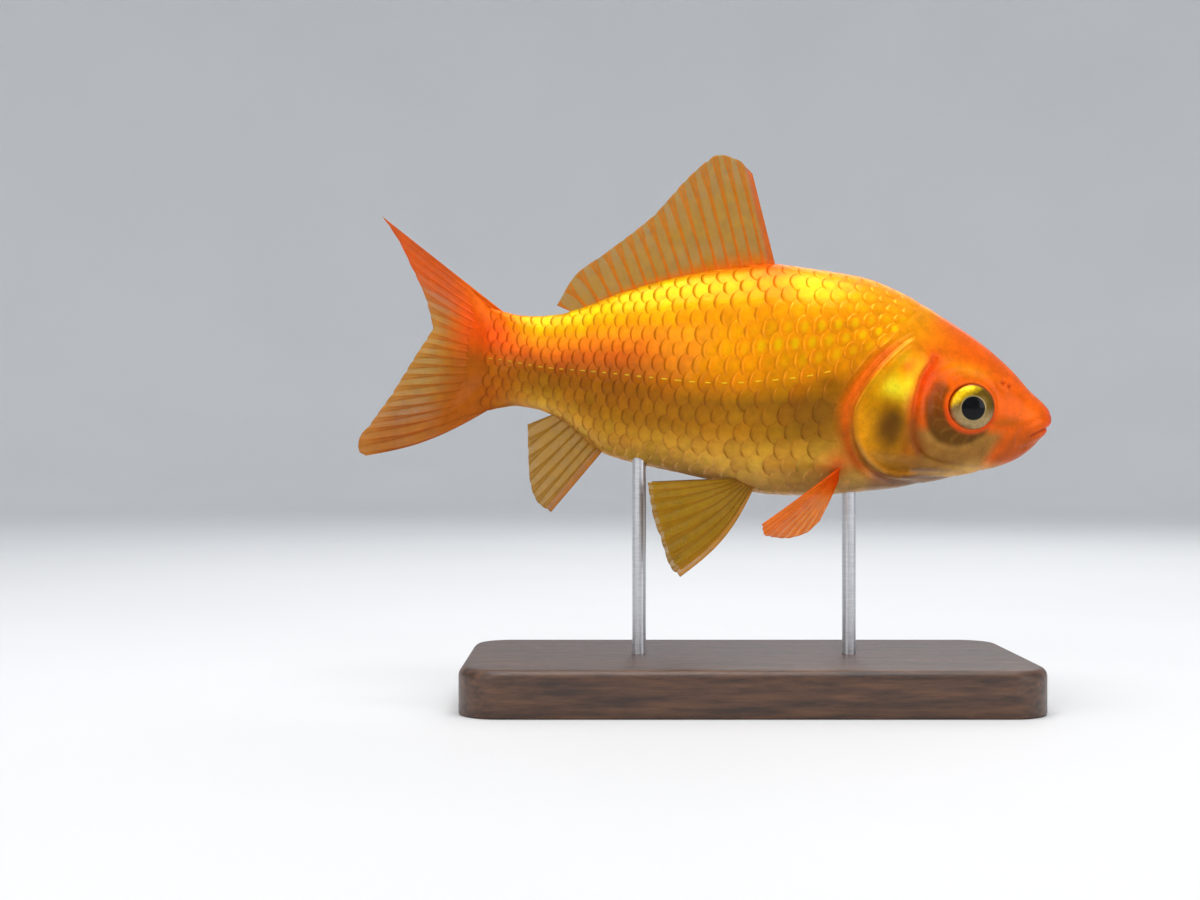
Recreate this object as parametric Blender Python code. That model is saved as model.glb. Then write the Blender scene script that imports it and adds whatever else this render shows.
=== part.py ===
"""A common goldfish as a still, life-size display model, swimming above a plain stand.

Lengths are in millimetres until placed() turns them into metres. A place on the fish is
(f, h, s): f back from the snout along the body's axis, h above that axis, and s towards the
fish's left. The fish swims towards +X, nose a little down, its tail swung to its left. The
origin is the centre of the stand's underside.
"""

import math

import bmesh
import bpy
import numpy as np
from mathutils import Matrix, Vector

MM = 0.001
GAP = 0.3  # left between two pieces that touch
FAR = 60.0  # past the fish on every side

# Where the fish hangs: its snout, and how far its nose points down and its tail swings.
SNOUT_X, SNOUT_Z = 54.3, 49.6
NOSE_DOWN = math.radians(6.0)
SWING_FROM, SWING_AT_TAIL = 38.0, 4.6

# The body. The snout is at f = 0 and the tail fin's rays start at STANDARD_LENGTH.
STANDARD_LENGTH = 100.0
BODY_END = 101.0
BACK = (
    (0, 0), (1.2, 1.9), (4.2, 4.1), (8.2, 7.7), (14, 11.8), (21.5, 15.8), (29, 19.3), (36.5, 21.3),
    (45, 21.8), (51, 22.0), (61, 20.1), (70, 17.4), (78, 14.2), (84, 11.2), (90, 9.1), (95, 8.6), (101, 9.6),
)
BELLY = (
    (0, 0), (0.5, -1.9), (1.2, -3.5), (2.7, -5.4), (5.7, -8.1), (10.5, -10.4), (16.2, -12.3), (24.3, -14.8),
    (32.3, -16.6), (39, -17.9), (49, -18.8), (57.5, -17.6), (64, -16.7), (71.4, -15.9), (77.5, -14.8),
    (82, -12.2), (86, -9.6), (90, -8.3), (94, -8.0), (101, -9.8),
)
HALF_WIDTH = (
    (0, 0), (0.5, 1.6), (1.2, 2.3), (2.7, 3.1), (5.7, 4.2), (10.5, 5.7), (16, 7.1), (22, 8.3), (28, 9.3),
    (34, 9.9), (42, 10.2), (50, 10.0), (58, 9.2), (66, 8.0), (74, 6.5), (82, 4.9), (90, 3.6), (96, 2.6),
    (101, 1.1),
)
WIDEST_AT = (
    (0, -0.6), (3, -1.2), (10, -1.4), (20, -2.4), (30, -2.0), (42, 0.8), (55, 2.0), (70, 1.0), (85, 0.4),
    (101, 0),
)
ROUND_ABOVE = ((0, 2.0), (8, 2.2), (20, 2.2), (34, 2.0), (60, 1.85), (101, 1.9))
ROUND_BELOW = ((0, 2.0), (8, 1.9), (20, 1.85), (34, 2.0), (60, 2.1), (101, 2.0))
AROUND = 28
HEAD_STATIONS = (
    0.25, 0.7, 1.4, 2.4, 3.6, 5.0, 6.6, 8.4, 10.4, 12.4, 14.3, 16.2, 18.2, 20.4, 22.8, 25.2, 27.6, 30.0,
    32.4, 34.8,
)
TRUNK_STEP = 2.6

# The eye is a flattened ball, and the head swells a little round it.
EYE_F, EYE_H, EYE_S = 16.0, 0.1, 6.3
EYE_RADII = (4.3, 4.2, 2.2)
BROW_SWELL, BROW_REACH = 0.55, 5.6

# The gill cover's rear edge is a superellipse about this centre, and its front edge an arc.
GILL_F, GILL_H = 26.5, -2.5
GILL_BACK, GILL_UP, GILL_DOWN = 10.2, 13.6, 11.3
GILL_UP_POWER, GILL_DOWN_POWER = 1.3, 2.2
GILL_FRONT, GILL_FRONT_AT, GILL_FRONT_CURVE = 25.9, -1.8, 0.05
GILL_TOP, GILL_BOTTOM = 7.0, -12.6
GILL_PROUD, GILL_DEEP = 0.4, 1.0
UNDER_GILL = (8.0, 48.0)
COVER_STARTS, SLOT_STARTS = 2.0, 1.5  # how far the covers and their slots stay from the middle
SHOULDER = 1.7  # the band of head behind the gill cover
NAPE_F, THROAT_F = 24.5, 27.5

# The mouth's cleft and corner, and the lower jaw's heel, each (f, h).
LIP_CLEFT = (1.1, -1.9)
MOUTH_CORNER = (5.2, -4.2)
JAW_HEEL = (9.4, -9.4)

# The line between the trunk and the tail, from above the back to below the vent.
TAIL_TOP, TAIL_BOTTOM = (81.5, 30.0), (77.2, -30.0)

# Fins. A root runs from the leading ray's foot to the last one's. A tip path's rows are
# (a, f, h, s), where a goes from 0 at the leading ray to 1 at the last.
RAY_RIDGE = 0.3
FIN_THICK = (1.2, 0.56)  # at the root and at the tip
BACK_FIN_ROOT, BACK_FIN_LEAN, BACK_FIN_SINK = (49.9, 84.2), 1.0, 1.5
BACK_FIN_TIP = (
    (0, 57.0, 37.4, 0), (0.06, 59.6, 39.5, 0), (0.14, 62.8, 40.2, 0.2), (0.28, 67.3, 36.7, 0.5),
    (0.52, 74.0, 28.0, 0.7), (0.76, 81.2, 21.2, 0.5), (0.9, 86.3, 16.5, 0.2), (1, 89.0, 10.8, 0),
)
VENT_FIN_ROOT, VENT_FIN_LEAN, VENT_FIN_SINK = (77.8, 86.2), -0.6, 2.0
VENT_FIN_TIP = (
    (0, 86.2, -25.9, 0), (0.25, 88.6, -24.6, 0.2), (0.5, 90.4, -21.5, 0.3), (0.75, 91.3, -16.5, 0.2),
    (1, 92.0, -10.8, 0),
)
TAIL_FIN_F, TAIL_FIN_FOOT_TOP, TAIL_FIN_FOOT_BOTTOM = 98.5, 8.6, -9.2
TAIL_FORK, FORK_SLIT = 0.39, 0.02
UPPER_LOBE_TIP = (
    (0, 123.9, 24.6, 4.0), (0.2, 119.9, 20.2, 3.2), (0.4, 117.0, 16.0, 2.4), (0.7, 113.3, 10.2, 1.4),
    (1, 111.2, 5.0, 0.9),
)
LOWER_LOBE_TIP = (
    (0, 111.2, 4.6, 0.9), (0.25, 114.0, -1.0, 0.8), (0.5, 117.2, -7.2, 1.0), (0.75, 120.8, -13.2, 1.4),
    (0.9, 123.0, -17.0, 1.8), (0.96, 123.0, -18.8, 1.9), (1, 121.4, -19.5, 2.0),
)
# Of a pair of fins, the rows give the left one, and s is outwards on either side.
BELLY_FIN_ROOT = ((50.8, -16.6, 2.6), (53.6, -16.4, 3.1))
BELLY_FIN_TIP = (
    (0, 62.2, -34.2, 9.2), (0.15, 63.8, -32.9, 9.4), (0.4, 66.0, -28.4, 9.4), (0.7, 68.3, -22.7, 8.8),
    (1, 69.3, -18.7, 7.6),
)
BREAST_FIN_ROOT, BREAST_FIN_SINK = ((36.2, -11.8), (37.0, -14.3)), 1.4
HELD_OUT_TIP = (
    (0, 50.0, -23.6, 15.0), (0.3, 49.2, -25.4, 14.6), (0.6, 46.0, -25.6, 12.9), (0.85, 42.4, -24.4, 11.4),
    (1, 40.2, -22.2, 10.2),
)
HELD_BACK_TIP = (
    (0, 53.0, -11.6, 14.2), (0.3, 53.4, -14.2, 14.0), (0.6, 51.0, -16.4, 13.2), (0.85, 47.6, -17.0, 12.0),
    (1, 44.6, -16.6, 10.8),
)

# The stand.
BASE_LENGTH, BASE_WIDTH, BASE_HEIGHT = 98.0, 46.0, 8.0
BASE_CORNER, BASE_BEVEL = 7.0, 1.2
CORNER_STEPS = 6
ROD_SPACING, ROD_RADIUS = 37.0, 1.2
ROD_IN_BASE, ROD_IN_FISH = 5.0, 3.0
ROD_SIDES = 20

ORANGE = (0.93, 0.27, 0.02)
GOLD = (0.86, 0.47, 0.06)
FIN_ORANGE = (0.90, 0.38, 0.06)
IRIS = (0.75, 0.60, 0.30)
DARK_WOOD = (0.06, 0.03, 0.015)
STEEL = (0.60, 0.60, 0.62)


def curve_through(points, stretch=lambda x: x):
    """A smooth function through (x, y) points that never overshoots them."""
    x, y = np.array(points, float).T
    x = stretch(x)
    slope = np.diff(y) / np.diff(x)
    tangent = np.zeros(len(x))
    tangent[0], tangent[-1] = slope[0], slope[-1]
    same_way = slope[1:] * slope[:-1] > 0
    both = np.where(same_way, slope[1:] + slope[:-1], 1.0)
    tangent[1:-1] = np.where(same_way, 2 * slope[1:] * slope[:-1] / both, 0.0)

    def value(at):
        at = np.clip(stretch(np.asarray(at, float)), x[0], x[-1])
        i = np.clip(np.searchsorted(x, at) - 1, 0, len(x) - 2)
        step = x[i + 1] - x[i]
        t = (at - x[i]) / step
        return (
            y[i] * (1 + 2 * t) * (1 - t) ** 2
            + y[i + 1] * t**2 * (3 - 2 * t)
            + step * t * (1 - t) * (tangent[i] * (1 - t) - tangent[i + 1] * t)
        )

    return value


# A square root in f makes the snout blunt, as a curve that starts straight up from f = 0.
back = curve_through(BACK, np.sqrt)
belly = curve_through(BELLY, np.sqrt)
half_width = curve_through(HALF_WIDTH, np.sqrt)
widest_at = curve_through(WIDEST_AT, np.sqrt)
round_above = curve_through(ROUND_ABOVE)
round_below = curve_through(ROUND_BELOW)


def placed(points):
    """Places on the fish, (..., 3) as (f, h, s), as points of the model in metres."""
    f, h, s = np.moveaxis(np.asarray(points, float), -1, 0)
    past = np.maximum(f - SWING_FROM, 0.0) / (STANDARD_LENGTH - SWING_FROM)
    turn = np.arctan(2 * SWING_AT_TAIL * past / (STANDARD_LENGTH - SWING_FROM))
    along = f - s * np.sin(turn)
    x = SNOUT_X - along * math.cos(NOSE_DOWN) + h * math.sin(NOSE_DOWN)
    y = SWING_AT_TAIL * past**2 + s * np.cos(turn)
    z = SNOUT_Z + along * math.sin(NOSE_DOWN) + h * math.cos(NOSE_DOWN)
    return np.stack([x, y, z], -1) * MM


def body_ring(f, grown):
    """The skin at station f, pushed out by grown: AROUND places, from the left flank over the back."""
    angle = np.arange(AROUND) * 2 * math.pi / AROUND
    c, s = np.cos(angle), np.sin(angle)
    power = np.where(s > 0, 2 / round_above(f), 2 / round_below(f))
    middle = widest_at(f)
    reach = np.where(s > 0, back(f) - middle, middle - belly(f)) + grown
    h = middle + np.sign(s) * reach * np.abs(s) ** power
    side = (half_width(f) + grown) * np.abs(c) ** power
    from_eye = np.hypot(f - EYE_F, h - EYE_H) / BROW_REACH
    side = side + BROW_SWELL * np.exp(-(from_eye**4)) * np.minimum(side, 1.0)
    return np.stack([np.full(AROUND, f), h, np.sign(c) * side], -1)


def skin_side(f, h):
    """How far out the skin is at a place on the flank, from the section's own curve."""
    middle = widest_at(f)
    reach = np.where(h > middle, back(f) - middle, middle - belly(f))
    power = np.where(h > middle, round_above(f), round_below(f))
    up = np.clip(np.abs(h - middle) / reach, 0, 1)
    return half_width(f) * (1 - up**power) ** (1 / power)


def make_object(name, mesh, colour=None, roughness=0.4, metallic=0.0):
    """Links a mesh as an object: a part if it has a colour, and otherwise a wire guide."""
    obj = bpy.data.objects.new(name, mesh)
    bpy.context.scene.collection.objects.link(obj)
    if colour is None:
        obj.hide_render = True
        obj.display_type = "WIRE"
        return obj
    material = bpy.data.materials.new(name)
    material.use_nodes = True
    shader = material.node_tree.nodes["Principled BSDF"]
    shader.inputs["Base Color"].default_value = (*colour, 1)
    shader.inputs["Roughness"].default_value = roughness
    shader.inputs["Metallic"].default_value = metallic
    mesh.materials.append(material)
    mesh.shade_smooth()
    mesh.set_sharp_from_angle(angle=math.radians(40))
    return obj


def mesh_from(name, points, faces):
    """A closed mesh of these points, already in metres, with every face turned outwards."""
    mesh = bpy.data.meshes.new(name)
    mesh.from_pydata([tuple(map(float, p)) for p in points], [], faces)
    work = bmesh.new()
    work.from_mesh(mesh)
    bmesh.ops.recalc_face_normals(work, faces=work.faces)
    if work.calc_volume(signed=True) < 0:
        bmesh.ops.reverse_faces(work, faces=work.faces)
    work.to_mesh(mesh)
    work.free()
    return mesh


def ring_faces(rings, around):
    """Quads that join rings of points, one after another, then a face over each end."""
    faces = []
    for i in range(rings - 1):
        for j in range(around):
            k = (j + 1) % around
            faces.append((i * around + j, i * around + k, (i + 1) * around + k, (i + 1) * around + j))
    first = tuple(range(around))
    last = tuple((rings - 1) * around + j for j in range(around))
    return [*faces, first, last]


def fan(ring, pole):
    """Triangles from a ring of point numbers to one point."""
    return [(j, k, pole) for j, k in zip(ring, ring[1:] + ring[:1])]


def body_mesh(name, grown=0.0, start=0.0, end=BODY_END):
    """The body from start to end as one closed loft, pushed out by grown and past both ends."""
    stations = [f for f in HEAD_STATIONS if f > start]
    steps = math.ceil((end - stations[-1]) / TRUNK_STEP)
    stations += list(np.linspace(stations[-1], end, steps + 1)[1:])
    rings = [body_ring(f, grown) for f in stations]
    if grown > 0:
        rings[-1][:, 0] += grown
    tip = (start if start else -max(grown, 0.0), 0.0, 0.0)
    points = [placed(p) for ring in rings for p in ring] + [placed(tip)]
    *sides, first, last = ring_faces(len(rings), AROUND)
    return mesh_from(name, points, [*sides, last, *fan(first, len(points) - 1)])


def prism_mesh(name, outline, near, far):
    """An outline of (f, h) places pushed straight through the fish, from s = near to s = far."""
    points = [placed((f, h, s)) for s in (near, far) for f, h in outline]
    return mesh_from(name, points, ring_faces(2, len(outline)))


def ball_mesh(name, centre, radii, around=16, rows=8):
    """A closed ball with its poles at the sides, as wide and as high as radii say."""
    centre, radii = np.array(centre), np.array(radii)
    points = []
    for i in range(1, rows):
        tilt = math.pi * i / rows
        for j in range(around):
            turn = 2 * math.pi * j / around
            way = (math.sin(tilt) * math.cos(turn), math.sin(tilt) * math.sin(turn), math.cos(tilt))
            points.append(placed(centre + radii * way))
    *sides, first, last = ring_faces(rows - 1, around)
    poles = [placed(centre + radii * (0, 0, 1)), placed(centre - radii * (0, 0, 1))]
    count = len(points)
    return mesh_from(name, points + poles, [*sides, *fan(first, count), *fan(last, count + 1)])


def cut(obj, other, operation="DIFFERENCE"):
    modifier = obj.modifiers.new(operation.title(), "BOOLEAN")
    modifier.operation = operation
    modifier.object = other
    return obj


def region(name, outline):
    """A guide that takes in all of the fish behind an outline of (f, h) places."""
    return make_object(name, prism_mesh(name, outline, -FAR, FAR))


def gill_edge(wider=0.0, count=26):
    """The gill cover's rear edge from its top round to its bottom, pushed out by wider."""
    edge = []
    for angle in np.linspace(math.pi / 2, -math.pi / 2, count):
        power = GILL_UP_POWER if angle > 0 else GILL_DOWN_POWER
        high = (GILL_UP if angle > 0 else GILL_DOWN) + wider
        across = max(math.cos(angle), 0.0) ** (2 / power)
        along = abs(math.sin(angle)) ** (2 / power)
        edge.append((GILL_F + (GILL_BACK + wider) * across, GILL_H + math.copysign(high * along, angle)))
    return edge


def gill_front(wider=0.0, count=8):
    """The groove in front of the gill cover, from its bottom up to its top."""
    heights = np.linspace(GILL_BOTTOM - wider, GILL_TOP + wider, count)
    return [(GILL_FRONT - GILL_FRONT_CURVE * (h - GILL_FRONT_AT) ** 2 - wider, h) for h in heights]


def gill_outline(wider=0.0):
    return [*gill_front(wider), *gill_edge(wider)[1:-2]]


def shoulder_line(further=0.0):
    """Where the head ends, from above the nape, round the gill cover and to below the throat."""
    line = gill_edge(SHOULDER + further, count=20)[1:-1]
    nape_h = line[0][1] + 4
    return [(NAPE_F + further, FAR), (NAPE_F + further, nape_h), *line, (THROAT_F + further, -FAR)]


def jaw_outline(wider=0.0):
    """The lower jaw from the side, or with wider the slot in the head that it lies in."""
    cleft_h = LIP_CLEFT[1] + wider
    corner = (MOUTH_CORNER[0] + wider, MOUTH_CORNER[1] + wider)
    heel_f = JAW_HEEL[0] + wider
    below = heel_f + 1
    heel = (heel_f, JAW_HEEL[1])
    return [(-FAR, cleft_h), (LIP_CLEFT[0], cleft_h), corner, heel, (below, -FAR), (-FAR, -FAR)]


def make_head():
    head = make_object("head", body_mesh("head"), ORANGE, 0.35)
    cut(head, region("head_region", [(-FAR, FAR), *shoulder_line(), (-FAR, -FAR)]), "INTERSECT")
    cut(head, region("jaw_slot", jaw_outline(GAP)))
    jaw = make_object("lower_jaw", body_mesh("lower_jaw"), ORANGE, 0.35)
    cut(jaw, region("jaw_region", jaw_outline()), "INTERSECT")
    return head


def make_gill_covers(head):
    """A shell over each gill, standing GILL_PROUD of the head, and the slot that it fills."""
    under_cover = make_object("under_cover", body_mesh("under_cover", -GILL_DEEP, *UNDER_GILL))
    slot_floor = make_object("slot_floor", body_mesh("slot_floor", -GILL_DEEP - GAP, *UNDER_GILL))
    for side, way in (("left", 1), ("right", -1)):
        name = f"gill_cover_{side}"
        cover = make_object(name, body_mesh(name, GILL_PROUD), GOLD, 0.25, 0.4)
        keep = prism_mesh("keep", gill_outline(), way * COVER_STARTS, way * FAR)
        cut(cover, make_object(f"gill_outline_{side}", keep), "INTERSECT")
        cut(cover, under_cover)
        slot = prism_mesh("slot", gill_outline(GAP), way * SLOT_STARTS, way * FAR)
        slot = make_object(f"gill_slot_{side}", slot)
        cut(slot, slot_floor)
        cut(head, slot)


def make_eyes(head):
    for side, way in (("left", 1), ("right", -1)):
        centre = (EYE_F, EYE_H, way * EYE_S)
        make_object(f"eye_{side}", ball_mesh(f"eye_{side}", centre, EYE_RADII), IRIS, 0.1)
        socket = ball_mesh("socket", centre, [radius + GAP for radius in EYE_RADII])
        cut(head, make_object(f"eye_socket_{side}", socket))


def make_trunk():
    trunk = make_object("trunk", body_mesh("trunk"), GOLD, 0.3, 0.3)
    ends = [(TAIL_BOTTOM[0], -FAR), TAIL_BOTTOM, TAIL_TOP, (TAIL_TOP[0], FAR)]
    return cut(trunk, region("trunk_region", [*shoulder_line(GAP), *ends]), "INTERSECT")


def make_tail():
    tail = make_object("tail", body_mesh("tail"), ORANGE, 0.3, 0.3)
    top, bottom, past = TAIL_TOP[0] + GAP, TAIL_BOTTOM[0] + GAP, STANDARD_LENGTH + FAR
    front = [(top, FAR), (top, TAIL_TOP[1]), (bottom, TAIL_BOTTOM[1]), (bottom, -FAR)]
    return cut(tail, region("tail_region", [*front, (past, -FAR), (past, FAR)]), "INTERSECT")


def path_of(rows, way=1):
    """A smooth path through (a, f, h, s) rows, as a function of a, on the left or the right side."""
    table = np.array(rows, float)
    f, h, s = (curve_through(table[:, (0, column)]) for column in (1, 2, 3))
    return lambda a: np.stack([f(a), h(a), way * s(a)], -1)


def fin_mesh(name, root, tip, rays, rows, bow):
    """A fin as a closed plate, with rays from root(a) to tip(a) that stand out as ridges.

    bow(a) is how far the middle of a ray lies off its chord.
    """
    count = 2 * rays - 1
    a = np.linspace(0, 1, count)
    t = np.linspace(0, 1, rows)[:, None]
    start, end, bend = (edge(a)[:, None, :] for edge in (root, tip, bow))
    sheet = start + (end - start) * t + bend * np.sin(np.pi * t)
    normal = np.cross(np.gradient(sheet, axis=0), np.gradient(sheet, axis=1)).sum((0, 1))
    normal /= np.linalg.norm(normal)
    ridge = np.where(np.arange(count) % 2 == 0, RAY_RIDGE, 0.0)[:, None, None]
    half = (FIN_THICK[0] * (1 - t) + FIN_THICK[1] * t + ridge * (1 - t)) / 2
    points = [placed(p) for way in (1, -1) for p in (sheet + way * half * normal).reshape(-1, 3)]
    other = count * rows
    faces = []
    for i in range(count - 1):
        for k in range(i * rows, i * rows + rows - 1):
            near = (k, k + rows, k + rows + 1, k + 1)
            faces += [near, tuple(other + corner for corner in reversed(near))]
    rim = [i * rows for i in range(count)] + [(count - 1) * rows + j for j in range(1, rows)]
    rim += [i * rows + rows - 1 for i in range(count - 2, -1, -1)] + list(range(rows - 2, 0, -1))
    faces += [(k, m, other + m, other + k) for k, m in zip(rim, rim[1:] + rim[:1])]
    return mesh_from(name, points, faces)


def make_fin(name, skin, root, tip, rays, rows=4, bow=lambda a: np.zeros((len(a), 3))):
    """A fin whose foot starts inside the body and is cut back to GAP clear of the skin."""
    return cut(make_object(name, fin_mesh(name, root, tip, rays, rows, bow), FIN_ORANGE, 0.35), skin)


def make_middle_fins(skin):
    def back_root(a):
        f = BACK_FIN_ROOT[0] + (BACK_FIN_ROOT[1] - BACK_FIN_ROOT[0]) * a
        return np.stack([f + BACK_FIN_LEAN, back(f) - BACK_FIN_SINK, 0 * f], -1)

    def vent_root(a):
        f = VENT_FIN_ROOT[0] + (VENT_FIN_ROOT[1] - VENT_FIN_ROOT[0]) * a
        return np.stack([f + VENT_FIN_LEAN, belly(f) + VENT_FIN_SINK, 0 * f], -1)

    make_fin("dorsal_fin", skin, back_root, path_of(BACK_FIN_TIP), rays=18)
    make_fin("anal_fin", skin, vent_root, path_of(VENT_FIN_TIP), rays=8)


def make_tail_fin(skin):
    """The tail fin's two lobes. The upper one is half furled, and trails to the left."""
    def root_of(first, last):
        def root(a):
            down = first + (last - first) * a
            h = TAIL_FIN_FOOT_TOP + (TAIL_FIN_FOOT_BOTTOM - TAIL_FIN_FOOT_TOP) * down
            return np.stack([TAIL_FIN_F + 0 * h, h, 0 * h], -1)

        return root

    def lower_bow(a):
        """The lower edge bulges downwards, and the rays above it follow less and less."""
        return np.stack([0 * a, -1.7 * np.clip((a - 0.4) / 0.6, 0, 1), 0 * a], -1)

    upper_root = root_of(0, TAIL_FORK - FORK_SLIT / 2)
    lower_root = root_of(TAIL_FORK + FORK_SLIT / 2, 1)
    make_fin("tail_fin_upper", skin, upper_root, path_of(UPPER_LOBE_TIP), rays=9, rows=5)
    make_fin("tail_fin_lower", skin, lower_root, path_of(LOWER_LOBE_TIP), rays=11, rows=5, bow=lower_bow)


def make_paired_fins(skin):
    """The belly's and the breast's fins. The right breast fin is held out and the left one back."""
    for side, way, breast_tip in (("left", 1, HELD_BACK_TIP), ("right", -1, HELD_OUT_TIP)):
        def belly_root(a):
            (f0, h0, s0), (f1, h1, s1) = BELLY_FIN_ROOT
            return np.stack([f0 + (f1 - f0) * a, h0 + (h1 - h0) * a, way * (s0 + (s1 - s0) * a)], -1)

        def belly_bow(a):
            """The leading ray curves forwards, and the whole fin is a little cupped."""
            return np.stack([-1.2 * (1 - a), -1.1 * (1 - a), way * 0.5 + 0 * a], -1)

        def breast_root(a):
            (f0, h0), (f1, h1) = BREAST_FIN_ROOT
            f, h = f0 + (f1 - f0) * a, h0 + (h1 - h0) * a
            return np.stack([f, h, way * (skin_side(f, h) - BREAST_FIN_SINK)], -1)

        def breast_bow(a):
            return np.stack([0 * a, 0 * a, way * 0.8 + 0 * a], -1)

        belly_tip, breast_tip = path_of(BELLY_FIN_TIP, way), path_of(breast_tip, way)
        make_fin(f"pelvic_fin_{side}", skin, belly_root, belly_tip, rays=9, bow=belly_bow)
        make_fin(f"pectoral_fin_{side}", skin, breast_root, breast_tip, rays=10, bow=breast_bow)


def rod_mesh(name, radius, low, high, x):
    """An upright cylinder from z = low to z = high."""
    middle = Matrix.Translation(Vector((x, 0, (low + high) / 2)) * MM)
    size = {"radius1": radius * MM, "radius2": radius * MM, "depth": (high - low) * MM}
    work = bmesh.new()
    bmesh.ops.create_cone(work, cap_ends=True, segments=ROD_SIDES, matrix=middle, **size)
    mesh = bpy.data.meshes.new(name)
    work.to_mesh(mesh)
    work.free()
    return mesh


def base_mesh():
    """A flat block with round corners, its underside at z = 0."""
    outline = []
    for quarter, (x_way, y_way) in enumerate(((1, 1), (-1, 1), (-1, -1), (1, -1))):
        for step in range(CORNER_STEPS + 1):
            angle = math.pi / 2 * (quarter + step / CORNER_STEPS)
            x = x_way * (BASE_LENGTH / 2 - BASE_CORNER) + BASE_CORNER * math.cos(angle)
            y = y_way * (BASE_WIDTH / 2 - BASE_CORNER) + BASE_CORNER * math.sin(angle)
            outline.append((x, y))
    points = [(x * MM, y * MM, z * MM) for z in (0, BASE_HEIGHT) for x, y in outline]
    return mesh_from("stand_base", points, ring_faces(2, len(outline)))


def make_stand(trunk):
    """The base, and two rods that go a little way into it and into the belly."""
    base = make_object("stand_base", base_mesh(), DARK_WOOD, 0.4)
    bevel = base.modifiers.new("Bevel", "BEVEL")
    bevel.width = BASE_BEVEL * MM
    bevel.segments = 1
    bevel.limit_method = "ANGLE"
    for name, way in (("front", 1), ("rear", -1)):
        x = way * ROD_SPACING / 2
        f = (SNOUT_X - x) * math.cos(NOSE_DOWN)
        belly_z = SNOUT_Z + f * math.sin(NOSE_DOWN) + float(belly(f)) * math.cos(NOSE_DOWN)
        low, high = BASE_HEIGHT - ROD_IN_BASE, belly_z + ROD_IN_FISH
        rod = rod_mesh(f"stand_rod_{name}", ROD_RADIUS, low, high, x)
        make_object(f"stand_rod_{name}", rod, STEEL, 0.3, 1.0)
        drill = rod_mesh(f"drill_{name}", ROD_RADIUS + GAP, low - GAP, high + GAP, x)
        drill = make_object(f"drill_{name}", drill)
        cut(base, drill)
        cut(trunk, drill)


def main():
    for obj in list(bpy.data.objects):
        bpy.data.objects.remove(obj)
    head = make_head()
    make_gill_covers(head)
    make_eyes(head)
    trunk = make_trunk()
    make_tail()
    skin = make_object("skin", body_mesh("skin", GAP))
    make_middle_fins(skin)
    make_tail_fin(skin)
    make_paired_fins(skin)
    make_stand(trunk)


main()
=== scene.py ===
"""The looks of the goldfish display model: skin, scales, fins, eyes, stand, and a plain studio.

Lengths are in millimetres until placed() turns them into metres, in the frame's own axes. A
place on the fish is (f, h, s): f back from the snout along the body's axis, h above that axis,
and s towards the fish's left. A place on its skin is (f, q): q goes round the left side, evenly
from 0 on the back to 1 on the belly. The skin and the scales are worked out on the left side, as
arrays of places, and mirrored for the right.
"""

import math

import bpy
import numpy as np
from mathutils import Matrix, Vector


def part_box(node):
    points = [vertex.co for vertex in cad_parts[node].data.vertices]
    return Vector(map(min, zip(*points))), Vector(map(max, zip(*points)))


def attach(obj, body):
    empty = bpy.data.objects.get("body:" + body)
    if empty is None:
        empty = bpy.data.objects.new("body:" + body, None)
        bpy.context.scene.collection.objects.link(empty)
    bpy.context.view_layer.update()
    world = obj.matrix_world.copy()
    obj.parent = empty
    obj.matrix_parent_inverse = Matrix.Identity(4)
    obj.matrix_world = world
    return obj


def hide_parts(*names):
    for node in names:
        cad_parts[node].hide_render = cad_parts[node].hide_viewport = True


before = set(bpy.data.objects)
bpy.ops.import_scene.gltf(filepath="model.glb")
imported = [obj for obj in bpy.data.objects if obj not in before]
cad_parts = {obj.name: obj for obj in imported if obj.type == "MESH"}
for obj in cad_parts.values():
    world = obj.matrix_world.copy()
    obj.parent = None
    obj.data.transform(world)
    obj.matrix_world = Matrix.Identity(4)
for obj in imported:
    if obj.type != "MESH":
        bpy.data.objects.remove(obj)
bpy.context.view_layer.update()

MM = 0.001
RNG = np.random.default_rng(7)
WAYS = {"left": 1, "right": -1}  # along the frame's y

# The solids' own shape, as the frame has it.
SNOUT_X, SNOUT_Z = 54.3, 49.6
NOSE_DOWN = math.radians(6.0)
SWING_FROM, SWING_AT_TAIL = 38.0, 4.6
STANDARD_LENGTH = 100.0
BODY_END = 101.0
BACK = (
    (0, 0), (1.2, 1.9), (4.2, 4.1), (8.2, 7.7), (14, 11.8), (21.5, 15.8), (29, 19.3), (36.5, 21.3),
    (45, 21.8), (51, 22.0), (61, 20.1), (70, 17.4), (78, 14.2), (84, 11.2), (90, 9.1), (95, 8.6), (101, 9.6),
)
BELLY = (
    (0, 0), (0.5, -1.9), (1.2, -3.5), (2.7, -5.4), (5.7, -8.1), (10.5, -10.4), (16.2, -12.3), (24.3, -14.8),
    (32.3, -16.6), (39, -17.9), (49, -18.8), (57.5, -17.6), (64, -16.7), (71.4, -15.9), (77.5, -14.8),
    (82, -12.2), (86, -9.6), (90, -8.3), (94, -8.0), (101, -9.8),
)
HALF_WIDTH = (
    (0, 0), (0.5, 1.6), (1.2, 2.3), (2.7, 3.1), (5.7, 4.2), (10.5, 5.7), (16, 7.1), (22, 8.3), (28, 9.3),
    (34, 9.9), (42, 10.2), (50, 10.0), (58, 9.2), (66, 8.0), (74, 6.5), (82, 4.9), (90, 3.6), (96, 2.6),
    (101, 1.1),
)
WIDEST_AT = (
    (0, -0.6), (3, -1.2), (10, -1.4), (20, -2.4), (30, -2.0), (42, 0.8), (55, 2.0), (70, 1.0), (85, 0.4),
    (101, 0),
)
ROUND_ABOVE = ((0, 2.0), (8, 2.2), (20, 2.2), (34, 2.0), (60, 1.85), (101, 1.9))
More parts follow.
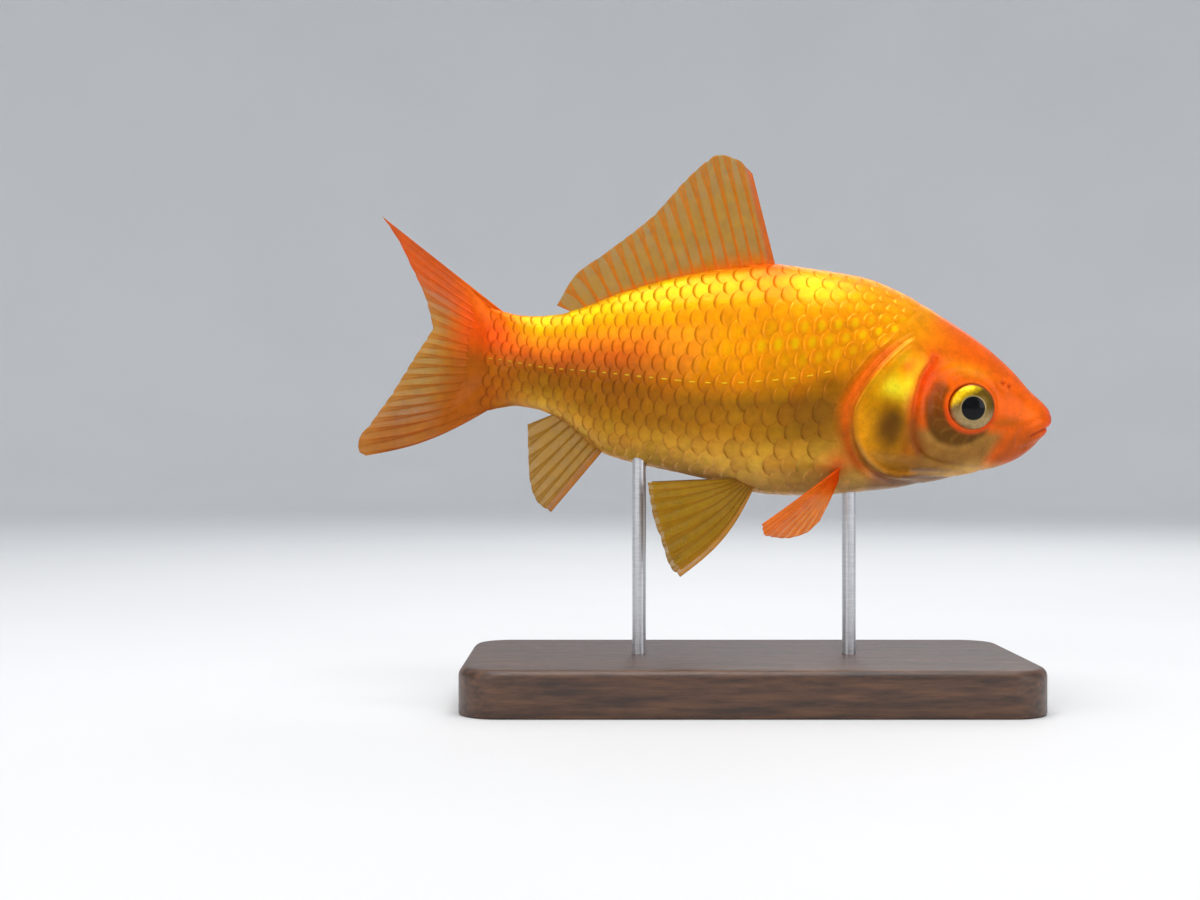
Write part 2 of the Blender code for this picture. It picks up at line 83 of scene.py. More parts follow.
ROUND_BELOW = ((0, 2.0), (8, 1.9), (20, 1.85), (34, 2.0), (60, 2.1), (101, 2.0))
EYE_F, EYE_H, EYE_S = 16.0, 0.1, 6.3
EYE_RADII = (4.3, 4.2, 2.2)
BROW_SWELL, BROW_REACH = 0.55, 5.6
GILL_F, GILL_H = 26.5, -2.5
GILL_BACK, GILL_UP, GILL_DOWN = 10.2, 13.6, 11.3
GILL_UP_POWER, GILL_DOWN_POWER = 1.3, 2.2

# Where the scales start: on the nape, behind the gill cover and, below a height, on the throat.
NAPE_F, NAPE_H, NAPE_SLANT = 24.0, 17.0, 0.8
BEHIND_GILL = 1.3
THROAT_F, THROAT_H = 33.5, -12.5

# Fins, as the solids have them. A tip path's rows are (a, f, h, s), where a goes from 0 at the
# leading ray to 1 at the last.
BACK_FIN_ROOT, BACK_FIN_LEAN, BACK_FIN_SINK = (49.9, 84.2), 1.0, 1.5
BACK_FIN_TIP = (
    (0, 57.0, 37.4, 0), (0.06, 59.6, 39.5, 0), (0.14, 62.8, 40.2, 0.2), (0.28, 67.3, 36.7, 0.5),
    (0.52, 74.0, 28.0, 0.7), (0.76, 81.2, 21.2, 0.5), (0.9, 86.3, 16.5, 0.2), (1, 89.0, 10.8, 0),
)
VENT_FIN_ROOT, VENT_FIN_LEAN, VENT_FIN_SINK = (77.8, 86.2), -0.6, 2.0
VENT_FIN_TIP = (
    (0, 86.2, -25.9, 0), (0.25, 88.6, -24.6, 0.2), (0.5, 90.4, -21.5, 0.3), (0.75, 91.3, -16.5, 0.2),
    (1, 92.0, -10.8, 0),
)
TAIL_FIN_F, TAIL_FIN_FOOT_TOP, TAIL_FIN_FOOT_BOTTOM = 98.5, 8.2, -7.6
TAIL_FORK = 0.39
UPPER_LOBE_TIP = (
    (0, 123.9, 24.6, 4.0), (0.2, 119.9, 20.2, 3.2), (0.4, 117.0, 16.0, 2.4), (0.7, 113.3, 10.2, 1.4),
    (1, 111.2, 5.0, 0.9),
)
LOWER_LOBE_TIP = (
    (0, 111.2, 4.6, 0.9), (0.25, 114.0, -1.0, 0.8), (0.5, 117.2, -7.2, 1.0), (0.75, 120.8, -13.2, 1.4),
    (0.9, 123.0, -17.0, 1.8), (0.96, 123.0, -18.8, 1.9), (1, 121.4, -19.5, 2.0),
)
BELLY_FIN_ROOT = ((50.8, -16.6, 2.6), (53.6, -16.4, 3.1))
BELLY_FIN_TIP = (
    (0, 62.2, -34.2, 9.2), (0.15, 63.8, -32.9, 9.4), (0.4, 66.0, -28.4, 9.4), (0.7, 68.3, -22.7, 8.8),
    (1, 69.3, -18.7, 7.6),
)
BREAST_FIN_ROOT, BREAST_FIN_SINK = ((36.2, -11.8), (37.0, -14.3)), 1.4
HELD_OUT_TIP = (
    (0, 50.0, -23.6, 15.0), (0.3, 49.2, -25.4, 14.6), (0.6, 46.0, -25.6, 12.9), (0.85, 42.4, -24.4, 11.4),
    (1, 40.2, -22.2, 10.2),
)
HELD_BACK_TIP = (
    (0, 53.0, -11.6, 14.2), (0.3, 53.4, -14.2, 14.0), (0.6, 51.0, -16.4, 13.2), (0.85, 47.6, -17.0, 12.0),
    (1, 44.6, -16.6, 10.8),
)

# Lines on the head and the flank, each a row of (f, h) places on either side.
MOUTH_LINE = ((-1.0, -2.0), (0.9, -2.1), (2.6, -2.9), (4.0, -3.8))
UPPER_LIP = ((-1.0, -0.9), (1.1, -1.0), (3.2, -1.95), (5.4, -3.4))
LOWER_LIP = ((-1.0, -2.8), (1.1, -2.9), (3.0, -3.8), (5.0, -5.0))
OVER_LIP = ((-1.0, 0.9), (0.5, 0.6), (2.2, -0.2), (4.3, -1.4), (6.0, -3.0))
UNDER_LIP = ((0.8, -3.9), (2.6, -4.7), (5.0, -6.0))
MAXILLA = ((6.0, -3.0), (6.7, -4.4), (6.2, -5.8), (5.0, -6.0))
JAW_BACK = ((8.4, -2.9), (9.5, -5.0), (10.8, -8.4), (10.6, -11.0))
CHEEK_EDGE = (
    (22.6, 4.2), (23.7, 2.4), (24.3, 0.3), (24.1, -2.5), (23.1, -5.2), (21.0, -6.9), (18.4, -7.4),
    (15.6, -6.7), (13.5, -5.2), (11.8, -3.6),
)
CHEEK_IN = ((20.6, 4.2), (20.9, 1.2), (20.6, -1.4), (19.5, -3.5), (17.6, -4.6), (15.2, -5.0), (12.6, -4.2))
PREOPERCLE = (
    (23.1, 7.6), (25.3, 3.4), (25.9, -1.5), (25.7, -5.5), (24.2, -8.4), (22.2, -9.8), (17.1, -10.5),
    (11.7, -10.6),
)
SUBOPERCLE = ((26.2, -8.6), (29.4, -9.7), (32.6, -8.9), (34.8, -6.6), (35.6, -4.0))
SENSE_CANAL = ((11.0, 3.0), (14.0, 6.3), (18.5, 6.8), (22.2, 5.4), (25.5, 8.8), (30.0, 10.3))
BRANCHIOSTEGALS = (
    ((34.9, -11.0), (31.6, -13.2), (27.2, -14.6), (22.0, -14.2)),
    ((24.6, -11.8), (20.5, -11.6), (15.0, -11.4)),
    ((26.0, -13.2), (21.0, -12.9), (16.0, -12.2)),
)
LATERAL_LINE = (
    (22.0, 11.0), (30.0, 8.6), (37.4, 4.9), (45, 2.1), (52.5, 0.5), (58.2, -0.4), (63.9, -0.7), (72.5, -0.6),
    (80.5, -0.5), (88.5, -0.6), (97.8, 0.1), (101, 0.2),
)
NOSTRILS = ((8.9, 4.5), (10.1, 4.9))


# ---------------------------------------------------------------- the body's surface


def curve_through(points, stretch=lambda x: x):
    """A smooth function through (x, y) points that never overshoots them."""
    x, y = np.array(points, float).T
    x = stretch(x)
    slope = np.diff(y) / np.diff(x)
    tangent = np.zeros(len(x))
    tangent[0], tangent[-1] = slope[0], slope[-1]
    same_way = slope[1:] * slope[:-1] > 0
    both = np.where(same_way, slope[1:] + slope[:-1], 1.0)
    tangent[1:-1] = np.where(same_way, 2 * slope[1:] * slope[:-1] / both, 0.0)

    def value(at):
        at = np.clip(stretch(np.asarray(at, float)), x[0], x[-1])
        i = np.clip(np.searchsorted(x, at) - 1, 0, len(x) - 2)
        step = x[i + 1] - x[i]
        t = (at - x[i]) / step
        return (
            y[i] * (1 + 2 * t) * (1 - t) ** 2
            + y[i + 1] * t**2 * (3 - 2 * t)
            + step * t * (1 - t) * (tangent[i] * (1 - t) - tangent[i + 1] * t)
        )

    return value


back = curve_through(BACK, np.sqrt)
belly = curve_through(BELLY, np.sqrt)
half_width = curve_through(HALF_WIDTH, np.sqrt)
widest_at = curve_through(WIDEST_AT, np.sqrt)
round_above = curve_through(ROUND_ABOVE)
round_below = curve_through(ROUND_BELOW)
lateral_h = curve_through(LATERAL_LINE)


def placed(points):
    """Places on the fish, (..., 3) as (f, h, s), as points of the model in metres."""
    f, h, s = np.moveaxis(np.asarray(points, float), -1, 0)
    past = np.maximum(f - SWING_FROM, 0.0) / (STANDARD_LENGTH - SWING_FROM)
    turn = np.arctan(2 * SWING_AT_TAIL * past / (STANDARD_LENGTH - SWING_FROM))
    along = f - s * np.sin(turn)
    x = SNOUT_X - along * math.cos(NOSE_DOWN) + h * math.sin(NOSE_DOWN)
    y = SWING_AT_TAIL * past**2 + s * np.cos(turn)
    z = SNOUT_Z + along * math.sin(NOSE_DOWN) + h * math.cos(NOSE_DOWN)
    return np.stack([x, y, z], -1) * MM


def section(f, angle):
    """The height and side of places on the solid's skin, at an angle round from the left flank."""
    c, s = np.cos(angle), np.sin(angle)
    power = np.where(s > 0, 2 / round_above(f), 2 / round_below(f))
    middle = widest_at(f)
    reach = np.where(s > 0, back(f) - middle, middle - belly(f))
    h = middle + np.sign(s) * reach * np.abs(s) ** power
    side = half_width(f) * np.abs(c) ** power
    from_eye = np.hypot(f - EYE_F, h - EYE_H) / BROW_REACH
    side = side + BROW_SWELL * np.exp(-(from_eye**4)) * np.minimum(side, 1.0)
    return h, side


# The left side as a table of heights and sides, even in the root of f and even round each section.
ROOTS = np.linspace(0.02, math.sqrt(BODY_END), 700)
SHARES = np.linspace(0, 1, 500)


def unrolled():
    angles = np.linspace(math.pi / 2, -math.pi / 2, 1441)
    h, side = section(ROOTS[:, None] ** 2, angles)
    walked = np.hypot(np.diff(h), np.diff(side)).cumsum(1)
    walked = np.pad(walked, ((0, 0), (1, 0)))
    girth = walked[:, -1]
    table = np.empty((len(ROOTS), len(SHARES), 2))
    line = np.empty(len(ROOTS))
    for i, far in enumerate(walked):
        table[i, :, 0] = np.interp(SHARES * girth[i], far, h[i])
        table[i, :, 1] = np.interp(SHARES * girth[i], far, side[i])
        line[i] = np.interp(-lateral_h(ROOTS[i] ** 2), -h[i], far)
    return table, girth, line


SIDE_TABLE, GIRTHS, LINE_ARCS = unrolled()


def girth(f):
    """How far it is round the left side of the body, from the back to the belly."""
    return np.interp(np.sqrt(f), ROOTS, GIRTHS)


def line_arc(f):
    """How far round from the back the lateral line lies."""
    return np.interp(np.sqrt(f), ROOTS, LINE_ARCS)


def on_body(f, q):
    """The places (f, h, s) on the solid's skin. A q below 0 or above 1 is past the middle, on the right."""
    f, q = np.broadcast_arrays(np.asarray(f, float), np.asarray(q, float))
    past = (q < 0) | (q > 1)
    q = np.where(q < 0, -q, np.where(q > 1, 2 - q, q))
    x = np.clip((np.sqrt(f) - ROOTS[0]) / (ROOTS[1] - ROOTS[0]), 0, len(ROOTS) - 1.001)
    y = np.clip(q * (len(SHARES) - 1), 0, len(SHARES) - 1.001)
    i, j = x.astype(int), y.astype(int)
    x, y = (x - i)[..., None], (y - j)[..., None]
    low = SIDE_TABLE[i, j] * (1 - y) + SIDE_TABLE[i, j + 1] * y
    high = SIDE_TABLE[i + 1, j] * (1 - y) + SIDE_TABLE[i + 1, j + 1] * y
    h, side = np.moveaxis(low * (1 - x) + high * x, -1, 0)
    return np.stack([f, h, np.where(past, -side, side)], -1)


def outward(f, q):
    """The directions straight out of the solid's skin there."""
    df, dq = 0.04 * np.sqrt(f) + 1e-4, 0.005
    along = on_body(np.minimum(f + df, BODY_END), q) - on_body(np.maximum(f - df, 0), q)
    way_round = on_body(f, q + dq) - on_body(f, q - dq)
    way = np.cross(way_round, along)
    return way / np.maximum(np.linalg.norm(way, axis=-1, keepdims=True), 1e-12)


# ---------------------------------------------------------------- shapes and masks on the side


def smoothstep(x, low, high):
    t = np.clip((x - low) / (high - low), 0, 1)
    return t * t * (3 - 2 * t)


def smooth_line(points, steps=6):
    """A row of places made finer, along a smooth curve through all of them."""
    count = np.arange(len(points))
    fine = np.linspace(0, len(points) - 1, (len(points) - 1) * steps + 1)
    columns = [curve_through(list(zip(count, column)))(fine) for column in zip(*points)]
    return list(zip(*columns))


def from_line(f, h, points):
    """How far places on the side are from a line through these ones."""
    best = np.full(np.shape(f), np.inf)
    line = smooth_line(points)
    for (f0, h0), (f1, h1) in zip(line, line[1:]):
        df, dh = f1 - f0, h1 - h0
        t = np.clip(((f - f0) * df + (h - h0) * dh) / (df**2 + dh**2 + 1e-12), 0, 1)
        best = np.minimum(best, np.hypot(f - f0 - t * df, h - h0 - t * dh))
    return best


def between(start, end, share):
    return start + (end - start) * share


def bell(x, middle, width):
    """1 where x is at the middle, falling softly on both sides."""
    return np.exp(-(((x - middle) / width) ** 2))


def near_line(f, h, points, width):
    return bell(from_line(f, h, points), 0, width)


def blob(f, h, centre, size, tilt=0.0, power=2.0):
    """A soft patch that is 1 at its centre. tilt turns it, in degrees, its rear end up."""
    c, s = math.cos(math.radians(tilt)), math.sin(math.radians(tilt))
    df, dh = f - centre[0], h - centre[1]
    u, v = (df * c + dh * s) / size[0], (dh * c - df * s) / size[1]
    return np.exp(-(np.hypot(u, v) ** power))


def from_gill_edge(f, h):
    """How far behind the gill cover's rear edge places are, negative in front of it."""
    dh = h - GILL_H
    dh = np.where(np.abs(dh) < 0.001, 0.001, dh)
    power = np.where(dh > 0, GILL_UP_POWER, GILL_DOWN_POWER)
    high = np.where(dh > 0, GILL_UP, GILL_DOWN)
    # In front of its middle the lower edge rises slowly towards the throat.
    rise = np.where(dh < 0, 0.025 * np.clip(GILL_F - f, 0, 12) ** 2, 0.0)
    high = high - rise
    df = np.maximum(f - GILL_F, 0)
    radius = np.hypot(df, dh)
    share = ((df / GILL_BACK) ** power + (np.abs(dh) / high) ** power) ** (1 / power)
    return radius * (1 - 1 / share)


def behind_head(f, h):
    """How far behind the naked head and throat places are, in the scales."""
    nape = (f - NAPE_F - NAPE_SLANT * np.clip(NAPE_H - h, 0, 20)) * 0.8
    gill = from_gill_edge(f, h) - BEHIND_GILL
    behind = between(gill, nape, smoothstep(h, 6.5, 11.0))
    return np.minimum(behind, np.where(h < THROAT_H, f - THROAT_F, np.inf))


def on_cover(f, h):
    """1 on the gill cover, 0 off it."""
    front_f, front_h = np.array(smooth_line(PREOPERCLE)[::-1]).T
    behind_front = f - np.interp(h, front_h, front_f)
    top = 1 - smoothstep(h, 6.0, 10.5) * (1 - smoothstep(f, 24.5, 30.0))
    front = smoothstep(behind_front, -0.3, 2.0) * smoothstep(f, 22.5, 25.5)
    return front * smoothstep(-from_gill_edge(f, h), 0.0, 0.5) * top


# ---------------------------------------------------------------- the skin's relief

COAT_DEPTH = 0.25  # the skin lies this far inside the solids under the scales
BARE_DEPTH = 0.05
FOLDS = (  # lines on the head, how far each stands out, or sinks if that is negative, and its width
    (MOUTH_LINE, -0.28, 0.24), (OVER_LIP, -0.11, 0.45), (UNDER_LIP, -0.12, 0.45), (MAXILLA, -0.14, 0.40),
    (JAW_BACK, -0.12, 0.6), (CHEEK_EDGE, -0.09, 0.40), (CHEEK_EDGE, 0.08, 1.2), (CHEEK_IN, -0.05, 0.6),
    (SENSE_CANAL, 0.07, 0.5), (PREOPERCLE, -0.26, 0.50), (SUBOPERCLE, -0.08, 0.36),
    *((line, -0.13, 0.36) for line in BRANCHIOSTEGALS),
)
SWELLINGS = (  # how far out, where, how big and how tilted: the jaw, the gill cover and the fins' roots
    (0.14, (7.6, -5.0), (1.6, 2.4), -20), (0.22, (30.5, -1.5), (4.2, 6.72), 0),
    (0.45, (37.6, -13.0), (2.2, 2.6), 20), (0.25, (51.6, -16.8), (3.0, 1.8), 0),
)


def relief(f, h):
    """How far the skin stands out of the solids' own, which gives the head its folds."""
    out = -BARE_DEPTH - (COAT_DEPTH - BARE_DEPTH) * smoothstep(behind_head(f, h), -0.8, 2.4)
    out = out + sum(amount * near_line(f, h, line, width) for line, amount, width in FOLDS)
    out = out + sum(amount * blob(f, h, *patch) for amount, *patch in SWELLINGS)

    # The two lips meet in a cleft, and the snout is drawn in a little round them.
    lips = 1 - smoothstep(f, 3.0, 5.4)
    out = out + 0.06 * near_line(f, h, UPPER_LIP, 0.6) * lips + 0.12 * near_line(f, h, LOWER_LIP, 0.6) * lips
    out = out - 0.10 * (1 - smoothstep(f, 0.5, 2.5))

    # The nostrils are pits with a raised rim.
    for place in NOSTRILS:
        out = out - 0.40 * blob(f, h, place, (0.46, 0.38), power=2.6)
        out = out + 0.07 * bell(np.hypot(f - place[0], h - place[1]), 0.74, 0.26)

    # The eye's rim, a groove round it, and the socket that the eyeball fills.
    from_eye = np.hypot((f - EYE_F) / 1.02, h - EYE_H)
    out = out + 0.11 * bell(from_eye, 4.35, 0.36) - 0.05 * bell(from_eye, 5.1, 0.5)
    out = out - 1.5 * (1 - smoothstep(from_eye, 3.5, 4.05))

    # The gill cover stands proud of the body behind it, with a soft rim along its edge.
    behind = from_gill_edge(f, h)
    fade = 1 - smoothstep(h, 6.5, 10.5) * (1 - smoothstep(f, 25.5, 29.5))
    fade = fade * (1 - smoothstep(-f, -19.0, -13.0))
    out = out + 0.40 * smoothstep(-behind, -0.15, 0.60) * smoothstep(f, 21.5, 28.5) * fade
    out = out - 0.07 * bell(behind, -1.4, 0.45) * fade
    return out - 0.36 * bell(behind, 0.35, 0.6) * fade * smoothstep(f, 17.0, 26.0)


# ---------------------------------------------------------------- markings


def shown(red, green, blue):
    """A colour as a screen shows it, each part from 0 to 255, as linear light."""
    c = np.array([red, green, blue]) / 255
    return np.where(c <= 0.04045, c / 12.92, ((c + 0.055) / 1.055) ** 2.4)


YELLOW = shown(255, 190, 0)
AMBER = shown(252, 156, 0)
ORANGE = shown(248, 106, 0)
RED_ORANGE = shown(238, 80, 0)
BRIGHT_RED = shown(244, 66, 0)
DEEP_RED = shown(212, 50, 0)
JAW_ORANGE = shown(178, 76, 10)
RED_BROWN = shown(136, 60, 2)
BROWN = shown(166, 82, 4)
BAND_BROWN = shown(176, 74, 0)
DARK_BRONZE = shown(94, 56, 4)
GOLD = shown(226, 148, 4)
PALE_GOLD = shown(255, 232, 40)
TAN_GOLD = shown(156, 106, 42)
TAN = shown(190, 138, 62)
PALE_TAN = shown(206, 160, 98)
LILAC = shown(166, 128, 96)
SLATE = shown(120, 104, 100)

# Down the flank from the back, at 1, to the belly, at -1, the lateral line at 0. The bands are partly painted
# light: the back is yellower as a painted highlight from above, and the flank just below the lateral line is
# darker bronze, partly its own colour and partly painted shade.
FRONT_BANDS = (
    (1.0, shown(250, 140, 0)), (0.85, AMBER), (0.34, shown(250, 152, 0)), (0.12, shown(242, 146, 0)),
    (0.0, shown(224, 132, 2)), (-0.2, shown(154, 96, 6)), (-0.48, shown(172, 112, 14)),
    (-0.70, shown(218, 160, 52)), (-0.88, shown(228, 178, 84)), (-1.0, PALE_TAN),
)
REAR_BANDS = (
    (1.0, YELLOW), (0.78, YELLOW), (0.6, AMBER), (0.42, shown(238, 124, 0)), (0.22, shown(202, 88, 0)),
    (0.04, shown(164, 78, 0)), (-0.12, shown(146, 80, 2)), (-0.5, shown(158, 98, 8)),
    (-0.74, shown(190, 132, 34)), (-0.9, shown(204, 150, 62)), (-1.0, TAN),
)
# Soft patches: the colour, how strong it is, its middle, its size, and its tilt and sharpness if any.
FLANK_PATCHES = (
    (YELLOW, 0.8, (44.5, 18.5), (5.0, 3.0), -10), (ORANGE, 0.9, (52.5, 21.0), (4.2, 5.5), -25),
    (DARK_BRONZE, 0.45, (43.0, -5.5), (6.5, 5.5)), (DARK_BRONZE, 0.55, (40.8, 1.4), (1.5, 1.0)),
    (PALE_TAN, 0.5, (38.0, -17.0), (9.0, 3.4)),
)
# Painted highlights on the head: on the crown, above the eye and on the snout.
HEAD_HIGHLIGHTS = (
    (AMBER, 0.8, (27.5, 13.0), (6.5, 5.0), 30), (AMBER, 0.6, (17.0, 6.4), (4.2, 1.3), 8),
    (ORANGE * 1.15, 0.5, (4.8, 0.4), (2.4, 1.5), 10),
)
# On the gill cover: orange patches of its own colour, and pale gold ones that are painted highlights.
COVER_PATCHES_AND_HIGHLIGHTS = (
    (ORANGE, 0.7, (27.8, 5.6), (1.8, 1.1), -30), (ORANGE, 0.6, (31.6, 5.6), (1.3, 0.8), -50),
    (PALE_GOLD, 0.97, (30.0, 1.8), (2.7, 1.6), 20), (PALE_GOLD, 0.6, (28.9, 7.4), (1.6, 0.7), -45),
)
# Painted shade inside the nostrils' pits.
NOSTRIL_SHADE = tuple((DEEP_RED * 0.4, 0.6, place, (0.4, 0.3)) for place in NOSTRILS)
CRESCENT_REACH = (  # how far from the eye's middle it goes, by the angle round it
    (-180, 4.6), (-135, 5.6), (-113, 6.2), (-90, 6.9), (-69, 7.8), (-52, 8.6), (-34, 8.9), (-14, 8.6),
    (5, 8.5), (25, 8.0), (40, 6.6),
)
COVER_SEAM = PREOPERCLE[:5]  # in front of the gill cover
CHEEK_TOP = ((-1.0, -2.6), (4.0, -3.6), (9.0, -3.4), (13.0, -3.4), (24.0, -4.0), (40.0, -4.0))


def painted(colour, over, share):
    """A colour over another, as much of it as share says."""
    share = np.clip(np.asarray(share), 0, 1)[..., None]
    return colour * (1 - share) + np.asarray(over) * share


def layered(colour, *layers):
    """A colour under layers of others, each an (over, share), the first one lowest."""
    for over, share in layers:
        colour = painted(colour, over, share)
    return colour


def patches_on(f, h, patches):
    """Layers of soft patches."""
    return [(over, share * blob(f, h, *patch)) for over, share, *patch in patches]


def banded(up, bands):
    at, colours = zip(*bands[::-1])
    return np.stack([np.interp(up, at, channel) for channel in np.array(colours).T], -1)


def all_over(colour, like):
    """One colour for each place of an array."""
    return np.broadcast_to(colour, (*like.shape, 3))


def flank_colours(f, h):
    """Bands of colour down the flank, and the saddle, shoulder, breast and tail root over them."""
    line = lateral_h(f)
    room = np.where(h > line, back(f) - line, line - belly(f))
    up = (h - line) / np.maximum(room, 0.1)
    return layered(
        banded(up, FRONT_BANDS),
        (banded(up, REAR_BANDS), smoothstep(f, 54, 78)),
        *patches_on(f, h, FLANK_PATCHES),
        (tail_root_colour(h), smoothstep(f, 90, 99.5)),
    )


def tail_root_colour(h):
    """What the tail's end and the tail fin's foot share: orange-red above, brown below."""
    high = painted(RED_ORANGE, AMBER, 0.2 * smoothstep(h, 4.5, 8.5))
    return painted(BROWN, high, smoothstep(h, -1.5, 4.5))


def head_colours(f, h):
    """The head but for its gill covers: orange above, bronze and tan on the cheek, lilac below."""
    cheek_top = np.interp(f, *np.array(CHEEK_TOP).T)
    cheek_front = 9.0 + 0.45 * np.maximum(-3.5 - h, 0)
    cheek = smoothstep(cheek_top - h, -0.8, 1.6) * smoothstep(f - cheek_front, -1.4, 1.6)
    jaw = smoothstep(cheek_front - f, -1.0, 2.5) * smoothstep(-h, 1.2, 5.0)

    # The bronze crescent behind and under the eye, and the fine pale rays that cross it.
    from_eye = np.hypot(f - EYE_F, h - EYE_H)
    turn = np.degrees(np.arctan2(h - EYE_H, f - EYE_F))
    reach = np.interp(turn, *np.array(CRESCENT_REACH).T)
    crescent = smoothstep(from_eye, 4.4, 5.1) * (1 - smoothstep(from_eye, reach - 1.0, reach + 0.5))
    crescent = crescent * smoothstep(turn, -146, -120) * (1 - smoothstep(turn, 24, 44))
    fine = np.abs(np.sin(np.radians(turn) * 9.0 + 0.6 * np.sin(from_eye * 1.7))) ** 16
    fine = crescent * fine * (1 - smoothstep(from_eye, 6.5, 8.0))

    return layered(
        all_over(RED_ORANGE * 0.4 + ORANGE * 0.6, f),
        # painted highlights on the crown, above the eye and on the snout
        *patches_on(f, h, HEAD_HIGHLIGHTS),
        (TAN_GOLD, cheek),
        (JAW_ORANGE, 0.85 * jaw),
        (DEEP_RED, 0.5 * smoothstep(-f, -3.0, -0.5)),
        (BROWN, 0.7 * blob(f, h, (9.2, -1.9), (2.8, 0.9), -8)),
        (painted(DARK_BRONZE, RED_BROWN, smoothstep(turn, -40, 20)), 0.95 * crescent),
        (TAN_GOLD, 0.30 * fine),
        (TAN, 0.30 * near_line(f, h, CHEEK_EDGE, 0.5) * smoothstep(-h, 4.0, 6.0)),
        # a red line of painted shade in the groove in front of the gill cover, browner low down
        (painted(RED_BROWN, RED_ORANGE, smoothstep(h, -4.0, 0.5)), 0.92 * near_line(f, h, COVER_SEAM, 1.3)),
        (BRIGHT_RED, 0.95 * blob(f, h, (25.3, 4.6), (2.5, 3.5), 24)),
        (DEEP_RED, 0.7 * bell(from_eye, 4.4, 0.45) * smoothstep(-h, -2.5, 2.0)),
        (LILAC, 0.75 * smoothstep(-h, 10.6, 12.4) * smoothstep(f, 9, 14)),
        # painted shade inside the nostrils' pits
        *patches_on(f, h, NOSTRIL_SHADE),
        # painted shade in the cleft between the lips
        (DEEP_RED * 0.5, 0.7 * near_line(f, h, MOUTH_LINE, 0.18)),
    )


def cover_colours(f, h):
    """The gill cover: yellow and mottled above, with painted highlights there, dark in the middle, gold
    towards its rim.
    """
    behind = from_gill_edge(f, h)
    return layered(
        all_over(GOLD * 0.9, f),
        (YELLOW, smoothstep(h, -1.5, 2.5)),
        (AMBER, 0.8 * smoothstep(h, 4.0, 8.0)),
        # orange patches, and pale gold painted highlights
        *patches_on(f, h, COVER_PATCHES_AND_HIGHLIGHTS),
        (BROWN, 0.8 * smoothstep(-f, -28.6, -26.4) * smoothstep(-h, -3.0, 0.5)),
        (DARK_BRONZE, 0.96 * blob(f, h, (29.8, -4.9), (2.8, 4.3), 4, 3.2)),
        (TAN_GOLD, 0.85 * smoothstep(-h, 8.4, 10.2)),
        (GOLD, 0.7 * bell(behind, -2.0, 0.8) * (1 - 0.7 * smoothstep(-h, 7.5, 10))),
        (AMBER, 0.5 * bell(behind, -1.3, 0.5)),
        (LILAC, 0.8 * bell(behind, 0, 0.8) * smoothstep(-h, 6.5, 9.5)),
    )


def markings(f, h):
    """The fish's colours at places on its side, with painted highlights and painted shade among them, the
    same for its skin and its scales.
    """
    naked = layered(
        head_colours(f, h),
        (cover_colours(f, h), on_cover(f, h)),
        # painted shade along the grooves between the gill rays
        *((SLATE, 0.5 * near_line(f, h, line, 0.36)) for line in BRANCHIOSTEGALS),
    )
    # The deep red band behind the gill cover, down to the breast fin's root.
    band = bell(from_gill_edge(f, h), 1.0, 1.2) * smoothstep(f, 26, 29)
    band = band * (1 - smoothstep(h, 7.5, 11.0)) * smoothstep(h, -15.5, -12.0)
    return layered(
        flank_colours(f, h),
        (naked, smoothstep(-behind_head(f, h), 0.2, 3.4)),
        (painted(BAND_BROWN, ORANGE, smoothstep(h, -9.0, 0.0)), 0.95 * band),
        (DEEP_RED * 0.9, 0.7 * blob(f, h, (37.6, -12.2), (2.0, 2.2))),
    )


def shine(f, h):
    """How metallic the skin is there."""
    flank = 0.46 - 0.2 * smoothstep(-h, 12, 17)
    head = smoothstep(-behind_head(f, h), 0.4, 3.0)
    on_head = 0.12 + 0.42 * on_cover(f, h) + 0.25 * blob(f, h, (19.0, -6.0), (5.0, 3.5))
    return flank * (1 - head) + on_head * head


# ---------------------------------------------------------------- meshes

ATTRIBUTE_KINDS = {1: ("FLOAT", "value"), 3: ("FLOAT_VECTOR", "vector"), 4: ("FLOAT_COLOR", "color")}


def new_object(name, points, faces, attributes=None, bake_map=None):
    """A smooth-shaded mesh of points in metres. The attributes and the bake map are per point."""
    mesh = bpy.data.meshes.new(name)
    mesh.from_pydata(np.asarray(points).tolist(), [], faces)
    for key, values in (attributes or {}).items():
        values = np.asarray(values, np.float32).reshape(len(points), -1)
        kind, field = ATTRIBUTE_KINDS[values.shape[1]]
        mesh.attributes.new(key, kind, "POINT").data.foreach_set(field, values.ravel())
    if bake_map is not None:
        corners = np.concatenate([np.asarray(face) for face in faces])
        layer = mesh.uv_layers.new(name="OFBake")
        layer.uv.foreach_set("vector", np.asarray(bake_map, np.float32)[corners].ravel())
    mesh.shade_smooth()
    obj = bpy.data.objects.new(name, mesh)
    bpy.context.scene.collection.objects.link(obj)
    return obj


def worn(obj, material, slot, *nodes):
    """Gives a piece its material, hangs it on the frame's root body, and hides the frame's nodes that it
    stands in for.
    """
    obj.data.materials.append(material)
    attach(obj, "root")
    if nodes:
        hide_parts(*nodes)


def with_alpha(colour):
    return np.concatenate([colour, np.ones((*colour.shape[:-1], 1))], -1)


def turned(faces, flip=True):
    """Faces that look the other way, if flip says so."""
    return [face[::-1] for face in faces] if flip else faces


def grid_faces(rows, columns, first=0):
    """Quads over a grid of points, row after row."""
    i, j = np.meshgrid(np.arange(rows - 1), np.arange(columns - 1), indexing="ij")
    k = first + (i * columns + j).ravel()
    return np.stack([k, k + columns, k + columns + 1, k + 1], 1).tolist()


